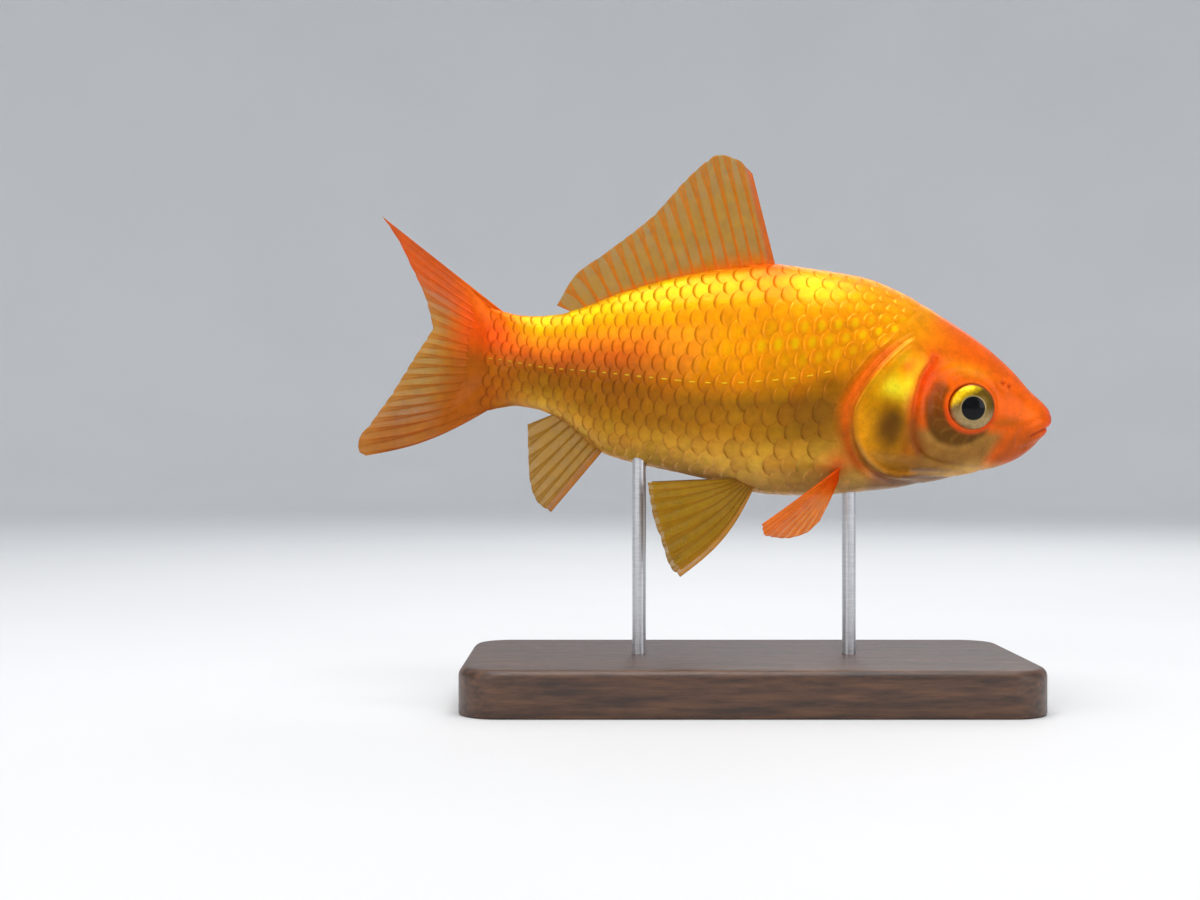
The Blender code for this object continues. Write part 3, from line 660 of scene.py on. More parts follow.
def plate_faces(rows, columns):
    """A closed plate: a grid of points, the same grid again behind it, and a strip round both."""
    behind = rows * columns
    grid = np.arange(behind).reshape(rows, columns)
    rim = np.concatenate([grid[:-1, 0], grid[-1, :-1], grid[:0:-1, -1], grid[0, :0:-1]])
    after = np.roll(rim, -1)
    strip = np.stack([rim, behind + rim, behind + after, after], 1).tolist()
    return grid_faces(rows, columns) + turned(grid_faces(rows, columns, behind)) + strip


def ring_faces(rings, around, first=0, flip=False):
    """Quads between closed rings of points, ring after ring. flip makes them look the other way."""
    i, j = np.meshgrid(np.arange(rings - 1), np.arange(around), indexing="ij")
    low, high = first + i * around, first + (i + 1) * around
    k = (j + 1) % around
    corners = (low + j, high + j, high + k, low + k) if flip else (low + j, low + k, high + k, high + j)
    return np.stack(corners, -1).reshape(-1, 4).tolist()


# ---------------------------------------------------------------- materials


class Look:
    """A node material. Each method that adds a node returns its output."""

    def __init__(self, name, **values):
        self.material = bpy.data.materials.new(name)
        self.material.use_nodes = True
        self.tree = self.material.node_tree
        self.shader = self.tree.nodes["Principled BSDF"]
        self.set(**values)

    def set(self, **values):
        """Sets the shader's own sockets, by their names, to values or to nodes' outputs."""
        for name, value in values.items():
            self.put(self.shader.inputs[name.replace("_", " ")], value)

    def put(self, socket, value):
        if isinstance(value, bpy.types.NodeSocket):
            self.tree.links.new(value, socket)
        else:
            socket.default_value = value

    def node(self, kind, inputs, **settings):
        made = self.tree.nodes.new("ShaderNode" + kind)
        for name, value in settings.items():
            setattr(made, name, value)
        for key, value in inputs.items():
            self.put(made.inputs[key], value)
        return made.outputs

    def attribute(self, name, output="Fac"):
        return self.node("Attribute", {}, attribute_name=name)[output]

    def split(self, name):
        """The three parts of a vector attribute."""
        return self.node("SeparateXYZ", {0: self.attribute(name, "Vector")})

    def maths(self, operation, first, second=0.0):
        return self.node("Math", {0: first, 1: second}, operation=operation)[0]

    def plus(self, first, second):
        return self.maths("ADD", first, second)

    def times(self, first, second):
        return self.maths("MULTIPLY", first, second)

    def squared(self, value):
        return self.maths("POWER", value, 2.0)

    def distance(self, first, second):
        """How long a vector of two parts is."""
        return self.maths("SQRT", self.plus(self.squared(first), self.squared(second)))

    def ranged(self, value, low, high, to_low=0.0, to_high=1.0):
        """A value from low to high, as one from to_low to to_high."""
        return self.node("MapRange", {0: value, 1: low, 2: high, 3: to_low, 4: to_high})[0]

    def noise(self, scale, detail=3.0, rough=0.55, stretch=None):
        """Noise over the model's own space, scale times to the metre."""
        places = self.node("TexCoord", {})["Object"]
        if stretch:
            places = self.node("Mapping", {"Vector": places, "Scale": stretch})[0]
        inputs = {"Vector": places, "Scale": scale, "Detail": detail, "Roughness": rough}
        return self.node("TexNoise", inputs)["Fac"]

    def spread(self, noise, to_low=0.0, to_high=1.0):
        """Noise, which seldom leaves 0.3 to 0.7 by itself, spread from to_low to to_high."""
        return self.ranged(noise, 0.3, 0.7, to_low, to_high)

    def mottled(self, to_low, to_high, *noise):
        return self.spread(self.noise(*noise), to_low, to_high)

    def mixed(self, share, first, second, blend="MIX"):
        inputs = {0: share, 6: first, 7: second}
        return self.node("Mix", inputs, data_type="RGBA", blend_type=blend)[2]

    def shaded(self, colour, value):
        """A colour times a number."""
        grey = self.node("CombineColor", {0: value, 1: value, 2: value})[0]
        return self.mixed(1.0, colour, grey, "MULTIPLY")

    def bump(self, height, distance, strength=1.0):
        """Bumps on the surface, over the ones there already. distance is in millimetres."""
        inputs = {"Height": height, "Distance": distance * MM, "Strength": strength}
        under = self.shader.inputs["Normal"].links
        if under:
            inputs["Normal"] = under[0].from_socket
        self.set(Normal=self.node("Bump", inputs)[0])


def solid(red, green, blue):
    """A colour as a screen shows it, for a colour socket."""
    return (*shown(red, green, blue), 1)


PUPIL_BLACK = (0.002, 0.002, 0.003, 1)
WARM_GLOSS = (1.0, 0.62, 0.25, 1)
WET = {"Coat_Weight": 0.14, "Coat_Roughness": 0.08, "Specular_IOR_Level": 0.2, "Specular_Tint": WARM_GLOSS}


def skin_material():
    """Wet, finely pitted skin in the fish's markings, mottled a little."""
    look = Look("goldfish_skin", **WET)
    mottle = look.times(look.mottled(0.80, 1.12, 420.0, 4.0), look.mottled(0.90, 1.06, 2600.0, 2.0))
    look.set(Base_Color=look.shaded(look.attribute("Markings", "Color"), mottle))
    look.set(Metallic=look.attribute("Shine"), Roughness=look.mottled(0.30, 0.44, 900.0))
    look.bump(look.plus(look.times(look.noise(2400.0, 1.0), 0.4), look.noise(600.0, 2.0)), 0.08, 0.4)
    return look.material


def scale_material():
    """Scales: growth rings round each one, grooves across its rear, a glint on some, and a gloss coat."""
    look = Look("goldfish_scales", **WET)
    rear, up, glint = look.split("Local")
    behind_glint = look.maths("DIVIDE", look.maths("SUBTRACT", rear, 0.44), 0.20)
    over_glint = look.maths("DIVIDE", up, 0.40)
    from_glint = look.plus(look.squared(behind_glint), look.squared(over_glint))
    glint = look.times(look.ranged(from_glint, 0.2, 1.4, 0.9, 0.0), glint)
    colour = look.shaded(look.attribute("Markings", "Color"), look.mottled(0.86, 1.10, 900.0, 3.0))
    look.set(Base_Color=look.mixed(glint, colour, solid(255, 216, 0)))
    look.set(Metallic=look.attribute("Shine"), Roughness=look.mottled(0.30, 0.42, 1200.0))
    look.bump(look.maths("SINE", look.times(look.distance(rear, up), 90.0)), 0.01, 0.3)
    angle = look.maths("ARCTAN2", up, look.plus(rear, 0.2))
    grooves = look.maths("ABSOLUTE", look.maths("SINE", look.times(angle, 7.0)))
    look.bump(look.maths("POWER", grooves, 0.3), 0.03, 0.35)
    look.bump(look.noise(1500.0, 2.0), 0.05, 0.4)
    return look.material


def fin_material():
    """Clear membrane between jointed rays that fork twice, most opaque along them."""
    look = Look("goldfish_fin", **{**WET, "Coat_Weight": 0.08, "Coat_Roughness": 0.12})
    place, t, _ = look.split("Rays")
    off = look.maths("SUBTRACT", look.maths("FRACT", look.plus(place, 0.5)), 0.5)
    for at, reach in (FORKS, TWIGS):
        off = look.maths("SUBTRACT", look.maths("ABSOLUTE", off), look.ranged(t, at, 1.0, 0.0, reach))
    wide = look.ranged(t, 0.2, 1.0, RAY_WIDE, RAY_TIP_WIDE)
    share = look.maths("DIVIDE", look.maths("ABSOLUTE", off), wide)
    ray = look.times(look.ranged(share, 0.45, 1.3, 1.0, 0.0), look.ranged(t, 0.3, 1.0, 0.95, 0.6))
    colour = look.mixed(ray, look.attribute("Markings", "Color"), look.attribute("Bones", "Color"))
    look.set(Base_Color=look.shaded(colour, look.mottled(0.88, 1.08, 600.0, 3.0)))
    cover = look.times(look.attribute("Cover"), look.mottled(0.92, 1.06, 350.0))
    more = look.times(look.maths("SUBTRACT", 0.94, cover), ray)
    look.set(Alpha=look.plus(cover, look.maths("MAXIMUM", more, 0.0)))
    look.set(Roughness=look.mottled(0.32, 0.48, 1500.0))
    look.bump(look.times(ray, look.maths("SINE", look.times(t, 140.0))), 0.03, 0.5)
    look.bump(look.noise(2500.0, 2.0), 0.02, 0.3)
    return look.material


def eye_material():
    """A round black pupil in a silver ring, and an iris that is gold above and silver below."""
    look = Look("goldfish_eye", Coat_Weight=0.18, Coat_Roughness=0.03, Specular_IOR_Level=0.1)
    rear, up, _ = look.split("Local")
    away = look.distance(rear, up)
    fleck = look.noise(1900.0, 4.0, 0.7)
    colour = look.mixed(look.ranged(up, -1.6, 0.6), solid(168, 142, 96), solid(112, 82, 6))
    rear_top = look.plus(look.times(rear, 0.6), look.times(up, 0.8))
    colour = look.mixed(look.ranged(rear_top, 1.7, 3.0), colour, solid(255, 206, 10))
    colour = look.shaded(colour, look.spread(fleck, 0.62, 1.2))
    colour = look.mixed(look.ranged(away, 2.16, 2.34), solid(158, 136, 90), colour)
    colour = look.mixed(look.ranged(away, 2.0, 2.08), PUPIL_BLACK, colour)
    look.set(Base_Color=look.mixed(look.ranged(away, 3.75, 4.05), colour, solid(150, 70, 4)))
    look.set(Metallic=look.ranged(away, 2.0, 2.1, 0.0, 0.45))
    look.set(Roughness=look.ranged(away, 2.0, 2.1, 0.12, 0.34))
    look.bump(fleck, 0.03, 0.4)
    return look.material


def wood_material():
    """Dark stained walnut, its grain along the base."""
    look = Look("stand_walnut", Coat_Weight=0.25, Coat_Roughness=0.25)
    grain = look.noise(90.0, 6.0, 0.62, (1.0, 9.0, 9.0))
    pores = look.noise(420.0, 3.0, 0.6, (1.0, 22.0, 22.0))
    colour = look.mixed(look.ranged(grain, 0.34, 0.68), solid(52, 32, 22), solid(104, 68, 44))
    look.set(Base_Color=look.mixed(look.ranged(pores, 0.55, 0.75, 0.0, 0.6), colour, solid(30, 18, 12)))
    look.set(Roughness=look.spread(pores, 0.34, 0.52))
    look.bump(pores, 0.08, 0.5)
    return look.material


def steel_material():
    """Brushed steel, its brush marks round the rod."""
    look = Look("stand_brushed_steel", Metallic=1.0)
    brush = look.noise(500.0, 3.0, 0.6, (1.0, 1.0, 14.0))
    dark, pale = (0.50, 0.50, 0.52, 1), (0.66, 0.66, 0.68, 1)
    look.set(Base_Color=look.mixed(look.spread(brush), dark, pale))
    look.set(Roughness=look.spread(brush, 0.30, 0.42))
    look.bump(brush, 0.02, 0.5)
    return look.material


def paper_material():
    """The studio's pale paper."""
    look = Look("studio_paper", Roughness=0.9, Specular_IOR_Level=0.2)
    dark, pale = (0.76, 0.765, 0.77, 1), (0.78, 0.785, 0.79, 1)
    look.set(Base_Color=look.mixed(look.mottled(0.0, 1.0, 8.0, 2.0), dark, pale))
    return look.material


# ---------------------------------------------------------------- the skin

HALF_ROUND = 160  # steps from the back to the belly
STATIONS = np.concatenate([  # of the rings, closest where the snout curves most
    6.0 * np.linspace(0.13, 1, 44) ** 2, np.arange(6.25, 38, 0.25), np.linspace(38, BODY_END, 113),
])
FLESH = ("head", "lower_jaw", "gill_cover_left", "gill_cover_right", "trunk", "tail")
TAIL_CLOSES = 10  # rings past the body's end, where flesh runs out over the tail fin's rays
FLESH_ON_RAYS, MORE_AT_EDGES = 7.0, 3.0  # how far it runs out, and how much further at the fin's edges
CLOSED_HALF = 0.04  # half the skin's thickness where it ends on the rays
TIP_AHEAD = 0.10  # how far the snout's tip is ahead of the first ring


def both_sides(half):
    """Rows from back to belly on the left, and on from belly to back on the right."""
    return np.concatenate([half, half[:, -2:0:-1]], 1)


def closing_rings(last):
    """Rings past the body's end, from its own last one into the middle of the tail fin's sheet."""
    a = (last[0, 1] - last[:, 1]) / (last[0, 1] - last[HALF_ROUND, 1])
    over = (FLESH_ON_RAYS + MORE_AT_EDGES * (2 * a - 1) ** 2) / tail_ray_length(a)
    on_fin = tail_foot(a) * (1 - over[:, None]) + tail_tip(a) * over[:, None]
    on_fin[:, 2] += CLOSED_HALF * np.sign(last[:, 2])
    return [last + (on_fin - last) * step for step in np.linspace(0, 1, TAIL_CLOSES + 1)[1:]]


def skin_faces(rings, around):
    """Quads between the rings, and both ends closed. The snout's tip is the point after the rings'."""
    tip = rings * around
    last = tip - around
    faces = ring_faces(rings, around) + [(j, tip, (j + 1) % around) for j in range(around)]
    # The last ring is closed across, from its left side to its right.
    faces += [(last + j + 1, tip - j - 1, tip - j, last + j) for j in range(1, HALF_ROUND - 1)]
    faces.append((last + 1, tip - 1, last))
    faces.append((last + HALF_ROUND, last + HALF_ROUND + 1, last + HALF_ROUND - 1))
    return faces


def make_skin(material):
    """One skin over the whole body: rings from the snout to the tail, left side and right side."""
    f, q = np.meshgrid(STATIONS, np.linspace(0, 1, HALF_ROUND + 1), indexing="ij")
    base = on_body(f, q)
    h = base[..., 1]
    half = base + outward(f, q) * relief(f, h)[..., None]
    half[:, (0, -1), 2] = 0.0
    whole = both_sides(half)
    whole[:, HALF_ROUND + 1:, 2] *= -1
    whole = np.concatenate([whole, closing_rings(whole[-1])])
    tip = half[0].mean(0) * (1, 1, 0) - (TIP_AHEAD, 0, 0)
    points = placed(np.concatenate([whole.reshape(-1, 3), tip[None]]))

    # Past the body's end the colours run on as they are, and the metal fades.
    colours, metal = both_sides(markings(f, h)), both_sides(shine(f, h))
    colours = np.concatenate([colours, np.repeat(colours[-1:], TAIL_CLOSES, 0)])
    fading = np.linspace(1, 0.15, TAIL_CLOSES + 1)[1:, None]
    metal = np.concatenate([metal, metal[-1:] * fading])
    attributes = {
        "Markings": with_alpha(np.concatenate([colours.reshape(-1, 3), [DEEP_RED]])),
        "Shine": np.append(metal.ravel(), 0.05),
    }
    skin = new_object("skin", points, skin_faces(*whole.shape[:2]), attributes)
    worn(skin, material, "scaled_skin", *FLESH)


# ---------------------------------------------------------------- scales

ROWS_UP, ROWS_DOWN = 8, 8
FIRST_SCALE, FIRST_LINE_SCALE = 22, 37.4
PITCHES = ((20, 2.7), (36, 2.8), (58, 2.8), (66, 2.3), (78, 1.92), (101, 1.85))
NARROWING = ((50, 1.0), (62, 0.93), (74, 0.80), (100, 0.66))  # of the rows behind the back fin's start
SCALE_GRID = 10
SCALE_LONG, SCALE_HIGH = 1.12, 0.96  # half its length in pitches, half its height in rows
SCALE_RISE, SCALE_THICK = 0.125, 0.03
GLINT_ROW = 2.2  # scales glint most about this row above the lateral line
PATCH = 0.004  # how much of the bake map's side one scale takes
CANAL_FROM, CANAL_TO = 38, 99  # where the lateral line has its tubes
CANAL_HALF, CANAL_SINK = 0.15, 0.06  # half a tube's width, and how deep its middle lies


def pitch_at(f):
    """How far it is from one scale to the next in a row."""
    return np.interp(f, *np.array(PITCHES).T)


def scale_stations():
    """Where the scales of an even row are centred: one on each pitch, from the gill cover both ways."""
    stations = [FIRST_LINE_SCALE]
    while stations[-1] < BODY_END - 0.8:
        stations.append(stations[-1] + pitch_at(stations[-1]))
    while stations[0] > FIRST_SCALE:
        stations.insert(0, stations[0] - pitch_at(stations[0]))
    return np.array(stations)


def row_height(row, f):
    """How far above the lateral line a row of scales runs, round the body, and how high its scales are."""
    def spacing(at):
        return line_arc(at) / ROWS_UP if row > 0 else (girth(at) - line_arc(at)) / ROWS_DOWN

    turn = float(NARROWING[0][0])
    narrowed = spacing(turn) * np.interp(f, *np.array(NARROWING).T)
    high = np.where(f > turn, narrowed, spacing(f))
    return row * high, high


def scale_seats(way):
    """One side's scales: row, station, share of the way round, half height, and room above and below."""
    even = scale_stations()
    odd = (even[1:] + even[:-1]) / 2
    for row in range(-ROWS_DOWN, ROWS_UP + 1):
        for centre in odd if row % 2 else even:
            height, spacing = row_height(row, centre)
            around = girth(centre)
            share = (line_arc(centre) - height) / around
            if not -0.01 <= share <= 1.01 or centre + SCALE_LONG * pitch_at(centre) > BODY_END + 0.5:
                continue
            q = min(max(share, 0), 1)
            if behind_head(centre, on_body(centre, q)[1]) < 0.6:
                continue
            to_back, to_belly = share * around, (1 - share) * around
            to_middle = min(to_back, to_belly)
            half = SCALE_HIGH * spacing
            if to_middle >= 0.02 * around:
                if to_middle >= 0.4 * spacing:
                    yield row, centre, q, half, min(1.0, to_back / half), min(1.0, to_belly / half)
            elif way > 0:
                yield row, centre, q, half, 1.0, 1.0  # the left side's scales lie over the middle


def map_root(centre, q):
    """Where a scale lies on the bake map."""
    return np.array([0.04 + 0.92 * (centre - FIRST_SCALE) / (BODY_END - FIRST_SCALE), 0.04 + 0.92 * q])


def round_grid():
    """Places all over one scale, out to 1 from its middle: how far to the rear, and how far up."""
    line = np.linspace(-1, 1, SCALE_GRID)
    x, y = np.meshgrid(line, line, indexing="ij")
    return x * np.sqrt(1 - y * y / 2), y * np.sqrt(1 - x * x / 2)


def scale_rise(f, h, u, v, steeper):
    """How far a scale stands out of the solids' own skin: more to its rear, less round its rim."""
    rise = -COAT_DEPTH + 0.02 + SCALE_RISE * (u + 1) / 2 * (1 + 0.06 * steeper)
    rise = rise + 0.025 * (1 - v**2) * smoothstep(u, -1.0, 0.3) - 0.03 * np.hypot(u, v) ** 8
    # The first scales sink under the head's skin.
    return rise - 0.40 * smoothstep(-behind_head(f, h), -1.6, 0.2)


def scale_colours(f, h, rim, glow, brighter, greener):
    """The fish's markings on one scale, darker along its rear edge and brighter in its middle."""
    low = smoothstep(lateral_h(f) + 1.0 - h, 0, 5)
    colour = markings(f, h)
    colour = painted(colour, colour * (0.80, 0.60, 0.45), (0.10 + 0.22 * low) * rim)
    colour = painted(colour, colour * (1.15, 1.28, 1.0), 0.6 * glow)
    return np.clip(colour * (1 + 0.06 * brighter) * (1, 1 + 0.04 * greener, 1), 0, 1)


def make_scales(side, material):
    """All the scales of one side, as one mesh of thin overlapping plates."""
    way = WAYS[side]
    u, v = round_grid()
    rim = smoothstep(np.hypot(u, v), 0.74, 1.0) * smoothstep(u, -0.2, 0.25)  # the dark rear edge
    glow = bell(u, 0.42, 0.26) * bell(v, 0, 0.42)  # the bright middle of what shows
    pattern = np.array(turned(plate_faces(SCALE_GRID, SCALE_GRID), way < 0))
    points, faces, colours, metals, local, flat = [], [], [], [], [], []
    for row, centre, q, half, room_above, room_below in scale_seats(way):
        longer, steeper, brighter, greener = RNG.normal(0, 1, 4)
        f = centre + SCALE_LONG * pitch_at(centre) * u * (1 + 0.02 * longer)
        f = np.clip(f, 1.0, BODY_END)
        up = row_height(row, f)[0] + half * v * np.where(v > 0, room_above, room_below) * (1 - 0.10 * u)
        place = (line_arc(f) - up) / girth(f)
        base, normal = on_body(f, place), outward(f, place)
        h = base[..., 1]
        rise = scale_rise(f, h, u, v, steeper)
        faces.append(pattern + len(points) * SCALE_GRID**2)
        points += [(base + normal * out[..., None]).reshape(-1, 3) for out in (rise, rise - SCALE_THICK)]
        colours += [scale_colours(f, h, rim, glow, brighter, greener).reshape(-1, 3)] * 2
        metals += [(shine(f, h) + 0.15 * glow).ravel()] * 2
        glint = bell(row, GLINT_ROW, 1.1) * smoothstep(-centre, -62, -40) * (0.7 + 0.3 * math.sin(7 * centre))
        spot = np.stack([u, v, glint + 0 * u], -1).reshape(-1, 3)
        local += [spot] * 2
        flat += [map_root(centre, q) + PATCH / 2 * spot[:, :2]] * 2

    attributes = {
        "Markings": with_alpha(np.concatenate(colours)),
        "Shine": np.clip(np.concatenate(metals), 0, 1),
        "Local": np.concatenate(local),
    }
    places = placed(np.concatenate(points) * (1, 1, way))
    faces = np.concatenate(faces).tolist()
    scales = new_object(f"scales_{side}", places, faces, attributes, np.concatenate(flat))
    worn(scales, material, "scaled_skin")


def make_lateral_line(side, material):
    """The pored canal down the flank: a short raised tube on each scale of the middle row."""
    way = WAYS[side]
    along, around = 9, 8
    t = np.linspace(-1, 1, along)[:, None]
    angle = np.linspace(0, 2 * math.pi, around, endpoint=False)[None, :]
    wide = CANAL_HALF * np.sqrt(np.maximum(1 - t**4, 0.02))
    spot = np.stack([t + 0 * angle, np.cos(angle) + 0 * t], -1).reshape(-1, 2)
    points, faces, flat = [], [], []
    for centre in scale_stations():
        if not CANAL_FROM < centre < CANAL_TO:
            continue
        pitch = pitch_at(centre)
        f = centre + SCALE_LONG * pitch * 0.40 + (0.24 + 0.05 * math.sin(9 * centre)) * pitch * t
        f = f + 0 * angle
        q = (line_arc(f) - wide * np.cos(angle)) / girth(f)
        rise = 0.6 * wide * np.sin(angle) - CANAL_SINK
        start = len(points) * along * around
        end = start + (along - 1) * around
        tube = ring_faces(along, around, start, flip=True)
        tube += [range(start, start + around), range(end, end + around)[::-1]]
        faces += turned(tube, way > 0)
        points.append((on_body(f, q) + outward(f, q) * rise[..., None]).reshape(-1, 3))
        flat.append(map_root(centre, 0.5) + PATCH / 2 * spot)
    places = np.concatenate(points) * (1, 1, way)
    f, h, _ = places.T
    attributes = {
        "Markings": with_alpha(painted(markings(f, h), PALE_GOLD, 0.42 - 0.2 * smoothstep(f, 72, 92))),
        "Shine": np.full(len(places), 0.35),
        "Local": np.zeros((len(places), 3)),
    }
    canal = new_object(f"lateral_line_{side}", placed(places), faces, attributes, np.concatenate(flat))
    worn(canal, material, "scaled_skin")


# ---------------------------------------------------------------- fins

PER_RAY = 12  # columns of mesh from one ray to the next
RAY_HALF, RAY_TIP_HALF = 0.42, 0.14  # half a ray's thickness at its foot and its tip
WEB_HALF, WEB_TIP_HALF = 0.16, 0.06
LEAD_WIDE, RAY_WIDE, RAY_TIP_WIDE = 0.48, 0.13, 0.06  # in gaps between rays
FORKS, TWIGS = (0.42, 0.17), (0.70, 0.07)  # where up the fin rays fork, and how far apart in rays they end


def path_of(rows, way=1):
    """A smooth path through (a, f, h, s) rows, as a function of a, on the left or the right side."""
    table = np.array(rows, float)
    f, h, s = (curve_through(table[:, (0, column)]) for column in (1, 2, 3))
    return lambda a: np.stack([f(a), h(a), way * s(a)], -1)


def ray_pattern(place, t):
    """How much of a ray there is at a place counted in rays, at t up the fin. The first doesn't fork."""
    nearest = np.round(place)
    lead = nearest == 0
    fork, twig = (np.where(lead, 0.0, reach * smoothstep(t, at, 1.0)) for at, reach in (FORKS, TWIGS))
    wide = np.where(lead, LEAD_WIDE, between(RAY_WIDE, RAY_TIP_WIDE, smoothstep(t, 0.4, 1.0)))
    return bell(np.abs(np.abs(np.abs(place - nearest) - fork) - twig), 0, wide)


def volume_of(points, faces):
    """The volume inside a closed mesh of quads, negative if it is inside out."""
    a, b, c, d = np.moveaxis(points[np.array(faces)], 1, 0)
    return float((np.cross(a, b) * c).sum() + (np.cross(a, c) * d).sum())


def straight(a):
    return np.zeros((len(a), 3))


def make_fin(name, material, nodes, root, tip, rays, colouring, bow=straight, rows=56, frayed=0.012,
             ripple=0.0):
    """A fin as a closed skin over its rays and web.

    root, tip and bow give places by a, from 0 at the leading ray to 1 at the last. colouring gives
    the web's colour, the rays' colour and how much the web covers, by a and by t up the fin.
    """
    place = np.linspace(0, rays - 1, (rays - 1) * PER_RAY + 1)[:, None]
    a = place / (rays - 1)
    off_ray = (2 * (place - np.round(place))) ** 2
    end = 1 - frayed * off_ray * (0.6 + 0.4 * np.sin(place * 2.4))
    t = np.linspace(0, 1, rows)[None, :] * end
    start, finish, bend = (edge(a[:, 0])[:, None, :] for edge in (root, tip, bow))
    a = a + 0 * t
    sheet = between(start, finish, t[..., None]) + bend * np.sin(math.pi * t)[..., None]
    normal = np.cross(np.gradient(sheet, axis=0), np.gradient(sheet, axis=1)).sum((0, 1))
    normal /= np.linalg.norm(normal)
    web, bone = between(WEB_HALF, WEB_TIP_HALF, t), between(RAY_HALF, RAY_TIP_HALF, t**0.8)
    half = between(web, bone, ray_pattern(place, t)) * (1 - 0.75 * smoothstep(t, 0.97, 1.0))
    wave = ripple * np.sin(a * math.pi * 5.0 + 2.0 * t) * t
    faced = [sheet + (wave + way * half)[..., None] * normal for way in (1, -1)]
    points = placed(np.concatenate(faced).reshape(-1, 3))
    faces = plate_faces(*t.shape)
    faces = turned(faces, volume_of(points, faces) < 0)

    colour, bones, cover = colouring(a, t)
    attributes = {
        "Markings": with_alpha(colour),
        "Bones": with_alpha(bones),
        "Cover": np.clip(cover, 0, 1),
        "Rays": np.stack([a * (rays - 1), t, 0 * t], -1),
    }
    attributes = {key: np.concatenate([values, values]) for key, values in attributes.items()}
    flat = [np.stack([left + 0.48 * a, 0.01 + 0.98 * t], -1).reshape(-1, 2) for left in (0.01, 0.51)]
    worn(new_object(name, points, faces, attributes, np.concatenate(flat)), material, "fin", *nodes)


WEB_GOLD = shown(236, 132, 4)
WEB_OLIVE = shown(182, 132, 8)
RAY_BROWN = shown(158, 74, 0)
RAY_GOLD = shown(206, 104, 4)
RAY_OLIVE = shown(142, 92, 8)
RAY_ORANGE = shown(216, 86, 0)
FIN_RED = shown(214, 76, 0)


def thin_colouring(web, bone, lead, lead_reach, root_colour=ORANGE):
    """Colours of a clear fin: web, rays, a stronger leading edge and a fleshy foot."""
    def colouring(a, t):
        edge = 1 - smoothstep(a, lead_reach * 0.4, lead_reach)
        foot = 1 - smoothstep(t, 0.02, 0.22)
        colours = [painted(all_over(colour, a), lead, 0.9 * edge) for colour in (web, bone)]
        web_colour, bones = (painted(colour, root_colour, 0.7 * foot) for colour in colours)
        cover = 0.70 - 0.08 * smoothstep(t, 0.5, 1.0) + 0.24 * foot
        return web_colour, bones, np.maximum(cover, 0.9 * edge * (1 - 0.3 * t))

    return colouring


def tail_colouring(a, t):
    """The tail fin: orange down both edges and the whole upper lobe, clearer in its middle."""
    upper = 1 - smoothstep(a, 0.14, 0.40)
    lower = smoothstep(a, 0.60, 0.92)
    foot = 1 - smoothstep(t * tail_ray_length(a), 7.0, 14.5)
    both = []
    for colour, low in ((WEB_OLIVE, shown(176, 96, 4)), (RAY_BROWN, shown(146, 58, 0))):
        colour = painted(all_over(colour, a), FIN_RED, 0.9 * upper)
        colour = painted(painted(colour, low, 0.85 * lower), tail_root_colour(tail_foot_height(a)), foot)
        both.append(painted(colour, shown(230, 156, 50), 0.3 * smoothstep(t, 0.8, 1.0) * (1 - upper)))
    cover = np.maximum(0.66 + 0.30 * foot, 0.94 * upper * (1 - 0.15 * t))
    return *both, np.maximum(cover, 0.90 * lower * (1 - 0.2 * t))


def breast_colouring(a, t):
    """A breast fin: dense orange along its leading rays, clearer behind."""
    lead = 1 - smoothstep(a, 0.25, 0.7)
    foot = 1 - smoothstep(t, 0.10, 0.5)
    both = []
    for colour, front in ((WEB_GOLD, shown(246, 122, 4)), (RAY_ORANGE, shown(226, 88, 0))):
        colour = painted(all_over(colour, a), front, 0.9 * lead)
        both.append(painted(colour, RED_ORANGE, 0.8 * foot))
    return *both, np.maximum(0.68 + 0.28 * foot, 0.94 * lead * (1 - 0.2 * t))


def middle_root(ends, lean, outline, rise):
    """The root of a fin on the body's middle, sunk into the flesh."""
    def root(a):
        f = between(*ends, a)
        return np.stack([f + lean, outline(f) + rise, 0 * f], -1)

    return root


def make_back_fin(material):
    root = middle_root(BACK_FIN_ROOT, BACK_FIN_LEAN, back, -BACK_FIN_SINK)
    colouring = thin_colouring(WEB_OLIVE, RAY_GOLD, shown(212, 96, 4), 0.05)
    make_fin("back_fin_web", material, ["dorsal_fin"], root, path_of(BACK_FIN_TIP), 18, colouring,
             rows=64, ripple=0.16)


def make_vent_fin(material):
    root = middle_root(VENT_FIN_ROOT, VENT_FIN_LEAN, belly, VENT_FIN_SINK)
    colouring = thin_colouring(WEB_OLIVE, RAY_OLIVE, shown(178, 104, 8), 0.16, TAN_GOLD)
    make_fin("vent_fin_web", material, ["anal_fin"], root, path_of(VENT_FIN_TIP), 8, colouring)


def tail_foot_height(a):
    return between(TAIL_FIN_FOOT_TOP, TAIL_FIN_FOOT_BOTTOM, a)


def tail_foot(a):
    """The foot of the tail fin's rays, from the upper one to the lower."""
    return np.stack([TAIL_FIN_F - 1.0 + 0 * a, tail_foot_height(a), 0 * a], -1)


def tail_tip(a):
    high = path_of(UPPER_LOBE_TIP)(np.clip(a / TAIL_FORK, 0, 1))
    low = path_of(LOWER_LOBE_TIP)(np.clip((a - TAIL_FORK) / (1 - TAIL_FORK), 0, 1))
    return np.where((a < TAIL_FORK)[:, None], high, low)


def tail_ray_length(a):
    return np.interp(a, (0, TAIL_FORK, 1), (26.4, 13.7, 24.0))


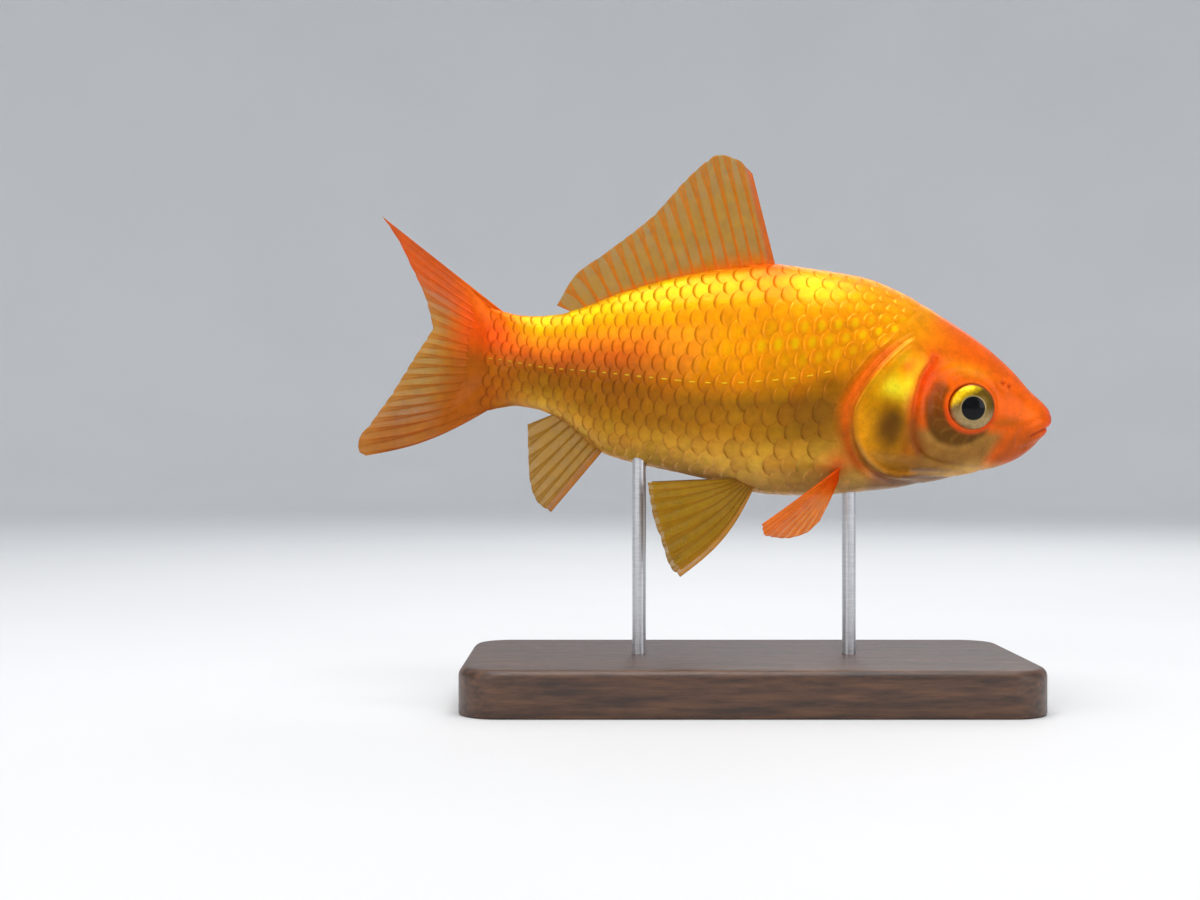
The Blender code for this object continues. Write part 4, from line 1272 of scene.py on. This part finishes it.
def make_tail_fin(material):
    """The tail fin's two lobes as one, so that its web runs on across the fork."""
    def bow(a):
        low = np.clip((a - TAIL_FORK) / (1 - TAIL_FORK), 0, 1)
        return np.stack([0 * a, -1.7 * np.clip((low - 0.4) / 0.6, 0, 1), 0 * a], -1)

    nodes = ["tail_fin_upper", "tail_fin_lower"]
    make_fin("tail_fin_web", material, nodes, tail_foot, tail_tip, 20, tail_colouring, rows=64, bow=bow,
             frayed=0.014, ripple=0.12)


def make_belly_fin(side, material):
    way = WAYS[side]

    def root(a):
        f, h, s = (between(*ends, a) for ends in zip(*BELLY_FIN_ROOT))
        return np.stack([f, h, way * s], -1)

    def bow(a):
        return np.stack([-1.2 * (1 - a), -1.1 * (1 - a), way * 0.5 + 0 * a], -1)

    colouring = thin_colouring(shown(166, 124, 22), RAY_OLIVE, shown(186, 124, 22), 0.14, TAN_GOLD)
    make_fin(f"belly_fin_web_{side}", material, [f"pelvic_fin_{side}"], root, path_of(BELLY_FIN_TIP, way), 9,
             colouring, bow=bow, ripple=0.1)


def make_breast_fin(side, tip, material):
    way = WAYS[side]

    def root(a):
        f, h = (between(*ends, a) for ends in zip(*BREAST_FIN_ROOT))
        middle = widest_at(f)
        down = np.clip((middle - h) / (middle - belly(f)), 0, 1)
        flank = half_width(f) * (1 - down ** round_below(f)) ** (1 / round_below(f))
        return np.stack([f, h, way * (flank - BREAST_FIN_SINK)], -1)

    def bow(a):
        return np.stack([0 * a, 0 * a, way * 0.8 + 0 * a], -1)

    make_fin(f"breast_fin_web_{side}", material, [f"pectoral_fin_{side}"], root, path_of(tip, way), 10,
             breast_colouring, bow=bow)


# ---------------------------------------------------------------- eyes

PUPIL_OFF = (-0.25, -0.3)  # from the eyeball's middle


def make_eye(side, material):
    """A flattened eyeball with its poles at the sides, the pupil a little forward of its middle."""
    rings, around = 40, 72
    tilt = np.linspace(0, math.pi, rings + 2)[1:-1][:, None]
    turn = np.linspace(0, 2 * math.pi, around, endpoint=False)[None, :]
    ball = np.stack([np.sin(tilt) * np.cos(turn), np.sin(tilt) * np.sin(turn), np.cos(tilt) + 0 * turn], -1)
    ball = np.concatenate([ball.reshape(-1, 3), [(0, 0, 1), (0, 0, -1)]]) * EYE_RADII
    places = (ball + (EYE_F, EYE_H, EYE_S)) * (1, 1, WAYS[side])
    count = rings * around
    last = count - around
    faces = ring_faces(rings, around, flip=True)
    faces += [(j, (j + 1) % around, count) for j in range(around)]
    faces += [(last + (j + 1) % around, last + j, count + 1) for j in range(around)]
    faces = turned(faces, side == "right")
    local = (ball - (*PUPIL_OFF, 0)) * (1, 1, 0)
    eye = new_object(f"eyeball_{side}", placed(places), faces, {"Local": local})
    worn(eye, material, "eye", f"eye_{side}")


# ---------------------------------------------------------------- the stand and the studio

BASE_CORNER, BASE_EDGE, BASE_BEVEL = 7.0, 1.6, 0.35  # at its corners, its upper edge and its foot
CORNER_POINTS = 11


def make_base(wood):
    """The stand's base again, with a properly rounded edge."""
    low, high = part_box("stand_base")
    length, width, height = ((high - low) / MM)[:]
    bend = np.linspace(0, math.pi / 2, 9)
    inset = np.concatenate([(BASE_BEVEL, 0.0), BASE_EDGE * (1 - np.cos(bend))])[:, None]
    level = np.concatenate([(0.0, BASE_BEVEL), height - BASE_EDGE * (1 - np.sin(bend))])[:, None]
    quarters = [np.linspace(quarter, quarter + 1, CORNER_POINTS) for quarter in range(4)]
    turn = np.concatenate(quarters) * math.pi / 2
    x_way, y_way = np.repeat([(1, -1, -1, 1), (1, 1, -1, -1)], CORNER_POINTS, axis=1)
    x = x_way * (length / 2 - BASE_CORNER) + (BASE_CORNER - inset) * np.cos(turn)
    y = y_way * (width / 2 - BASE_CORNER) + (BASE_CORNER - inset) * np.sin(turn)
    rings, around = x.shape
    points = np.stack([x, y, level + 0 * x], -1).reshape(-1, 3) * MM
    last = (rings - 1) * around
    faces = ring_faces(rings, around) + [range(around)[::-1], range(last, last + around)]
    base = new_object("walnut_base", points, faces)
    base.data.set_sharp_from_angle(angle=math.radians(50))
    worn(base, wood, "stand_wood", "stand_base")


def make_rods(steel):
    """The stand's rods are the frame's own, in brushed steel."""
    for end in ("front", "rear"):
        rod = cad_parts[f"stand_rod_{end}"]
        rod.data.materials.clear()
        rod.data.materials.append(steel)
        rod.data.shade_smooth()
        rod.data.set_sharp_from_angle(angle=math.radians(40))


LIGHTS = (  # the name, place, size, power and colour of each, in metres and watts
    ("overhead", (-0.02, -0.10, 0.62), 0.50, 2.6, (1.0, 0.98, 0.95)),
    ("front_left", (-0.45, -0.60, 0.30), 0.50, 1.3, (1.0, 0.97, 0.93)),
    ("front_right", (0.55, -0.50, 0.22), 0.40, 1.0, (0.95, 0.97, 1.0)),
    ("behind", (0.15, 0.42, 0.42), 0.35, 0.7, (1.0, 1.0, 1.0)),
)
LIT_PLACE = Vector((-0.005, 0.0, 0.045))
AIR_COLOUR, AIR_STRENGTH = (0.80, 0.84, 0.90, 1), 0.9
FLAT_REACH, CURVE, WALL_TOP, TURNS = 0.9, 0.5, 1.9, 96  # of the studio's paper, in metres


def make_floor():
    """A pale floor that curves up all round into a backdrop."""
    bend = np.linspace(0, math.pi / 2, 13)[1:]
    profile = [(0.02, 0.0), (0.3, 0.0), (FLAT_REACH, 0.0)]
    profile += [(FLAT_REACH + CURVE * math.sin(a), CURVE - CURVE * math.cos(a)) for a in bend]
    profile.append((FLAT_REACH + CURVE, WALL_TOP))
    turns = np.linspace(0, 2 * math.pi, TURNS, endpoint=False)
    points = [(r * math.cos(turn), r * math.sin(turn), z) for r, z in profile for turn in turns]
    faces = ring_faces(len(profile), TURNS, flip=True) + [range(TURNS)]
    floor = new_object("studio_floor", points, faces)
    floor.data.materials.append(paper_material())


def make_lights():
    """Soft square lights that face the model."""
    for name, place, size, power, colour in LIGHTS:
        light = bpy.data.lights.new(name, "AREA")
        light.shape, light.size, light.energy, light.color = "SQUARE", size, power, colour
        lamp = bpy.data.objects.new(name, light)
        lamp.location = place
        lamp.rotation_mode = "QUATERNION"
        lamp.rotation_quaternion = (LIT_PLACE - Vector(place)).to_track_quat("-Z", "Y")
        bpy.context.scene.collection.objects.link(lamp)


def make_air():
    """An even pale light from all round, and colours shown as they are."""
    scene = bpy.context.scene
    scene.world = bpy.data.worlds.new("studio_air")
    scene.world.use_nodes = True
    air = scene.world.node_tree.nodes["Background"].inputs
    air["Color"].default_value = AIR_COLOUR
    air["Strength"].default_value = AIR_STRENGTH
    scene.view_settings.view_transform = "Standard"


SENSOR_WIDE, HALF_VIEW = 36.0, math.radians(19.8)
CAMERA_PLACE = Vector((-25.4, -294.0, 43.9))


def make_camera():
    """The viewpoint: level, and square to the fish's right side."""
    camera = bpy.data.cameras.new("viewpoint")
    camera.sensor_width = SENSOR_WIDE
    camera.lens = SENSOR_WIDE / 2 / math.tan(HALF_VIEW)
    camera.clip_start, camera.clip_end = 0.01, 10.0
    holder = bpy.data.objects.new("viewpoint", camera)
    holder.location = CAMERA_PLACE * MM
    holder.rotation_euler = (math.pi / 2, 0, 0)
    bpy.context.scene.collection.objects.link(holder)
    bpy.context.scene.camera = holder


def main():
    make_camera()
    make_skin(skin_material())
    scales, fins, eyes = scale_material(), fin_material(), eye_material()
    for side in WAYS:
        make_scales(side, scales)
        make_lateral_line(side, scales)
        make_eye(side, eyes)
    make_back_fin(fins)
    make_vent_fin(fins)
    make_tail_fin(fins)
    for side, breast_tip in (("left", HELD_BACK_TIP), ("right", HELD_OUT_TIP)):
        make_belly_fin(side, fins)
        make_breast_fin(side, breast_tip, fins)
    make_base(wood_material())
    make_rods(steel_material())
    make_floor()
    make_lights()
    make_air()


main()
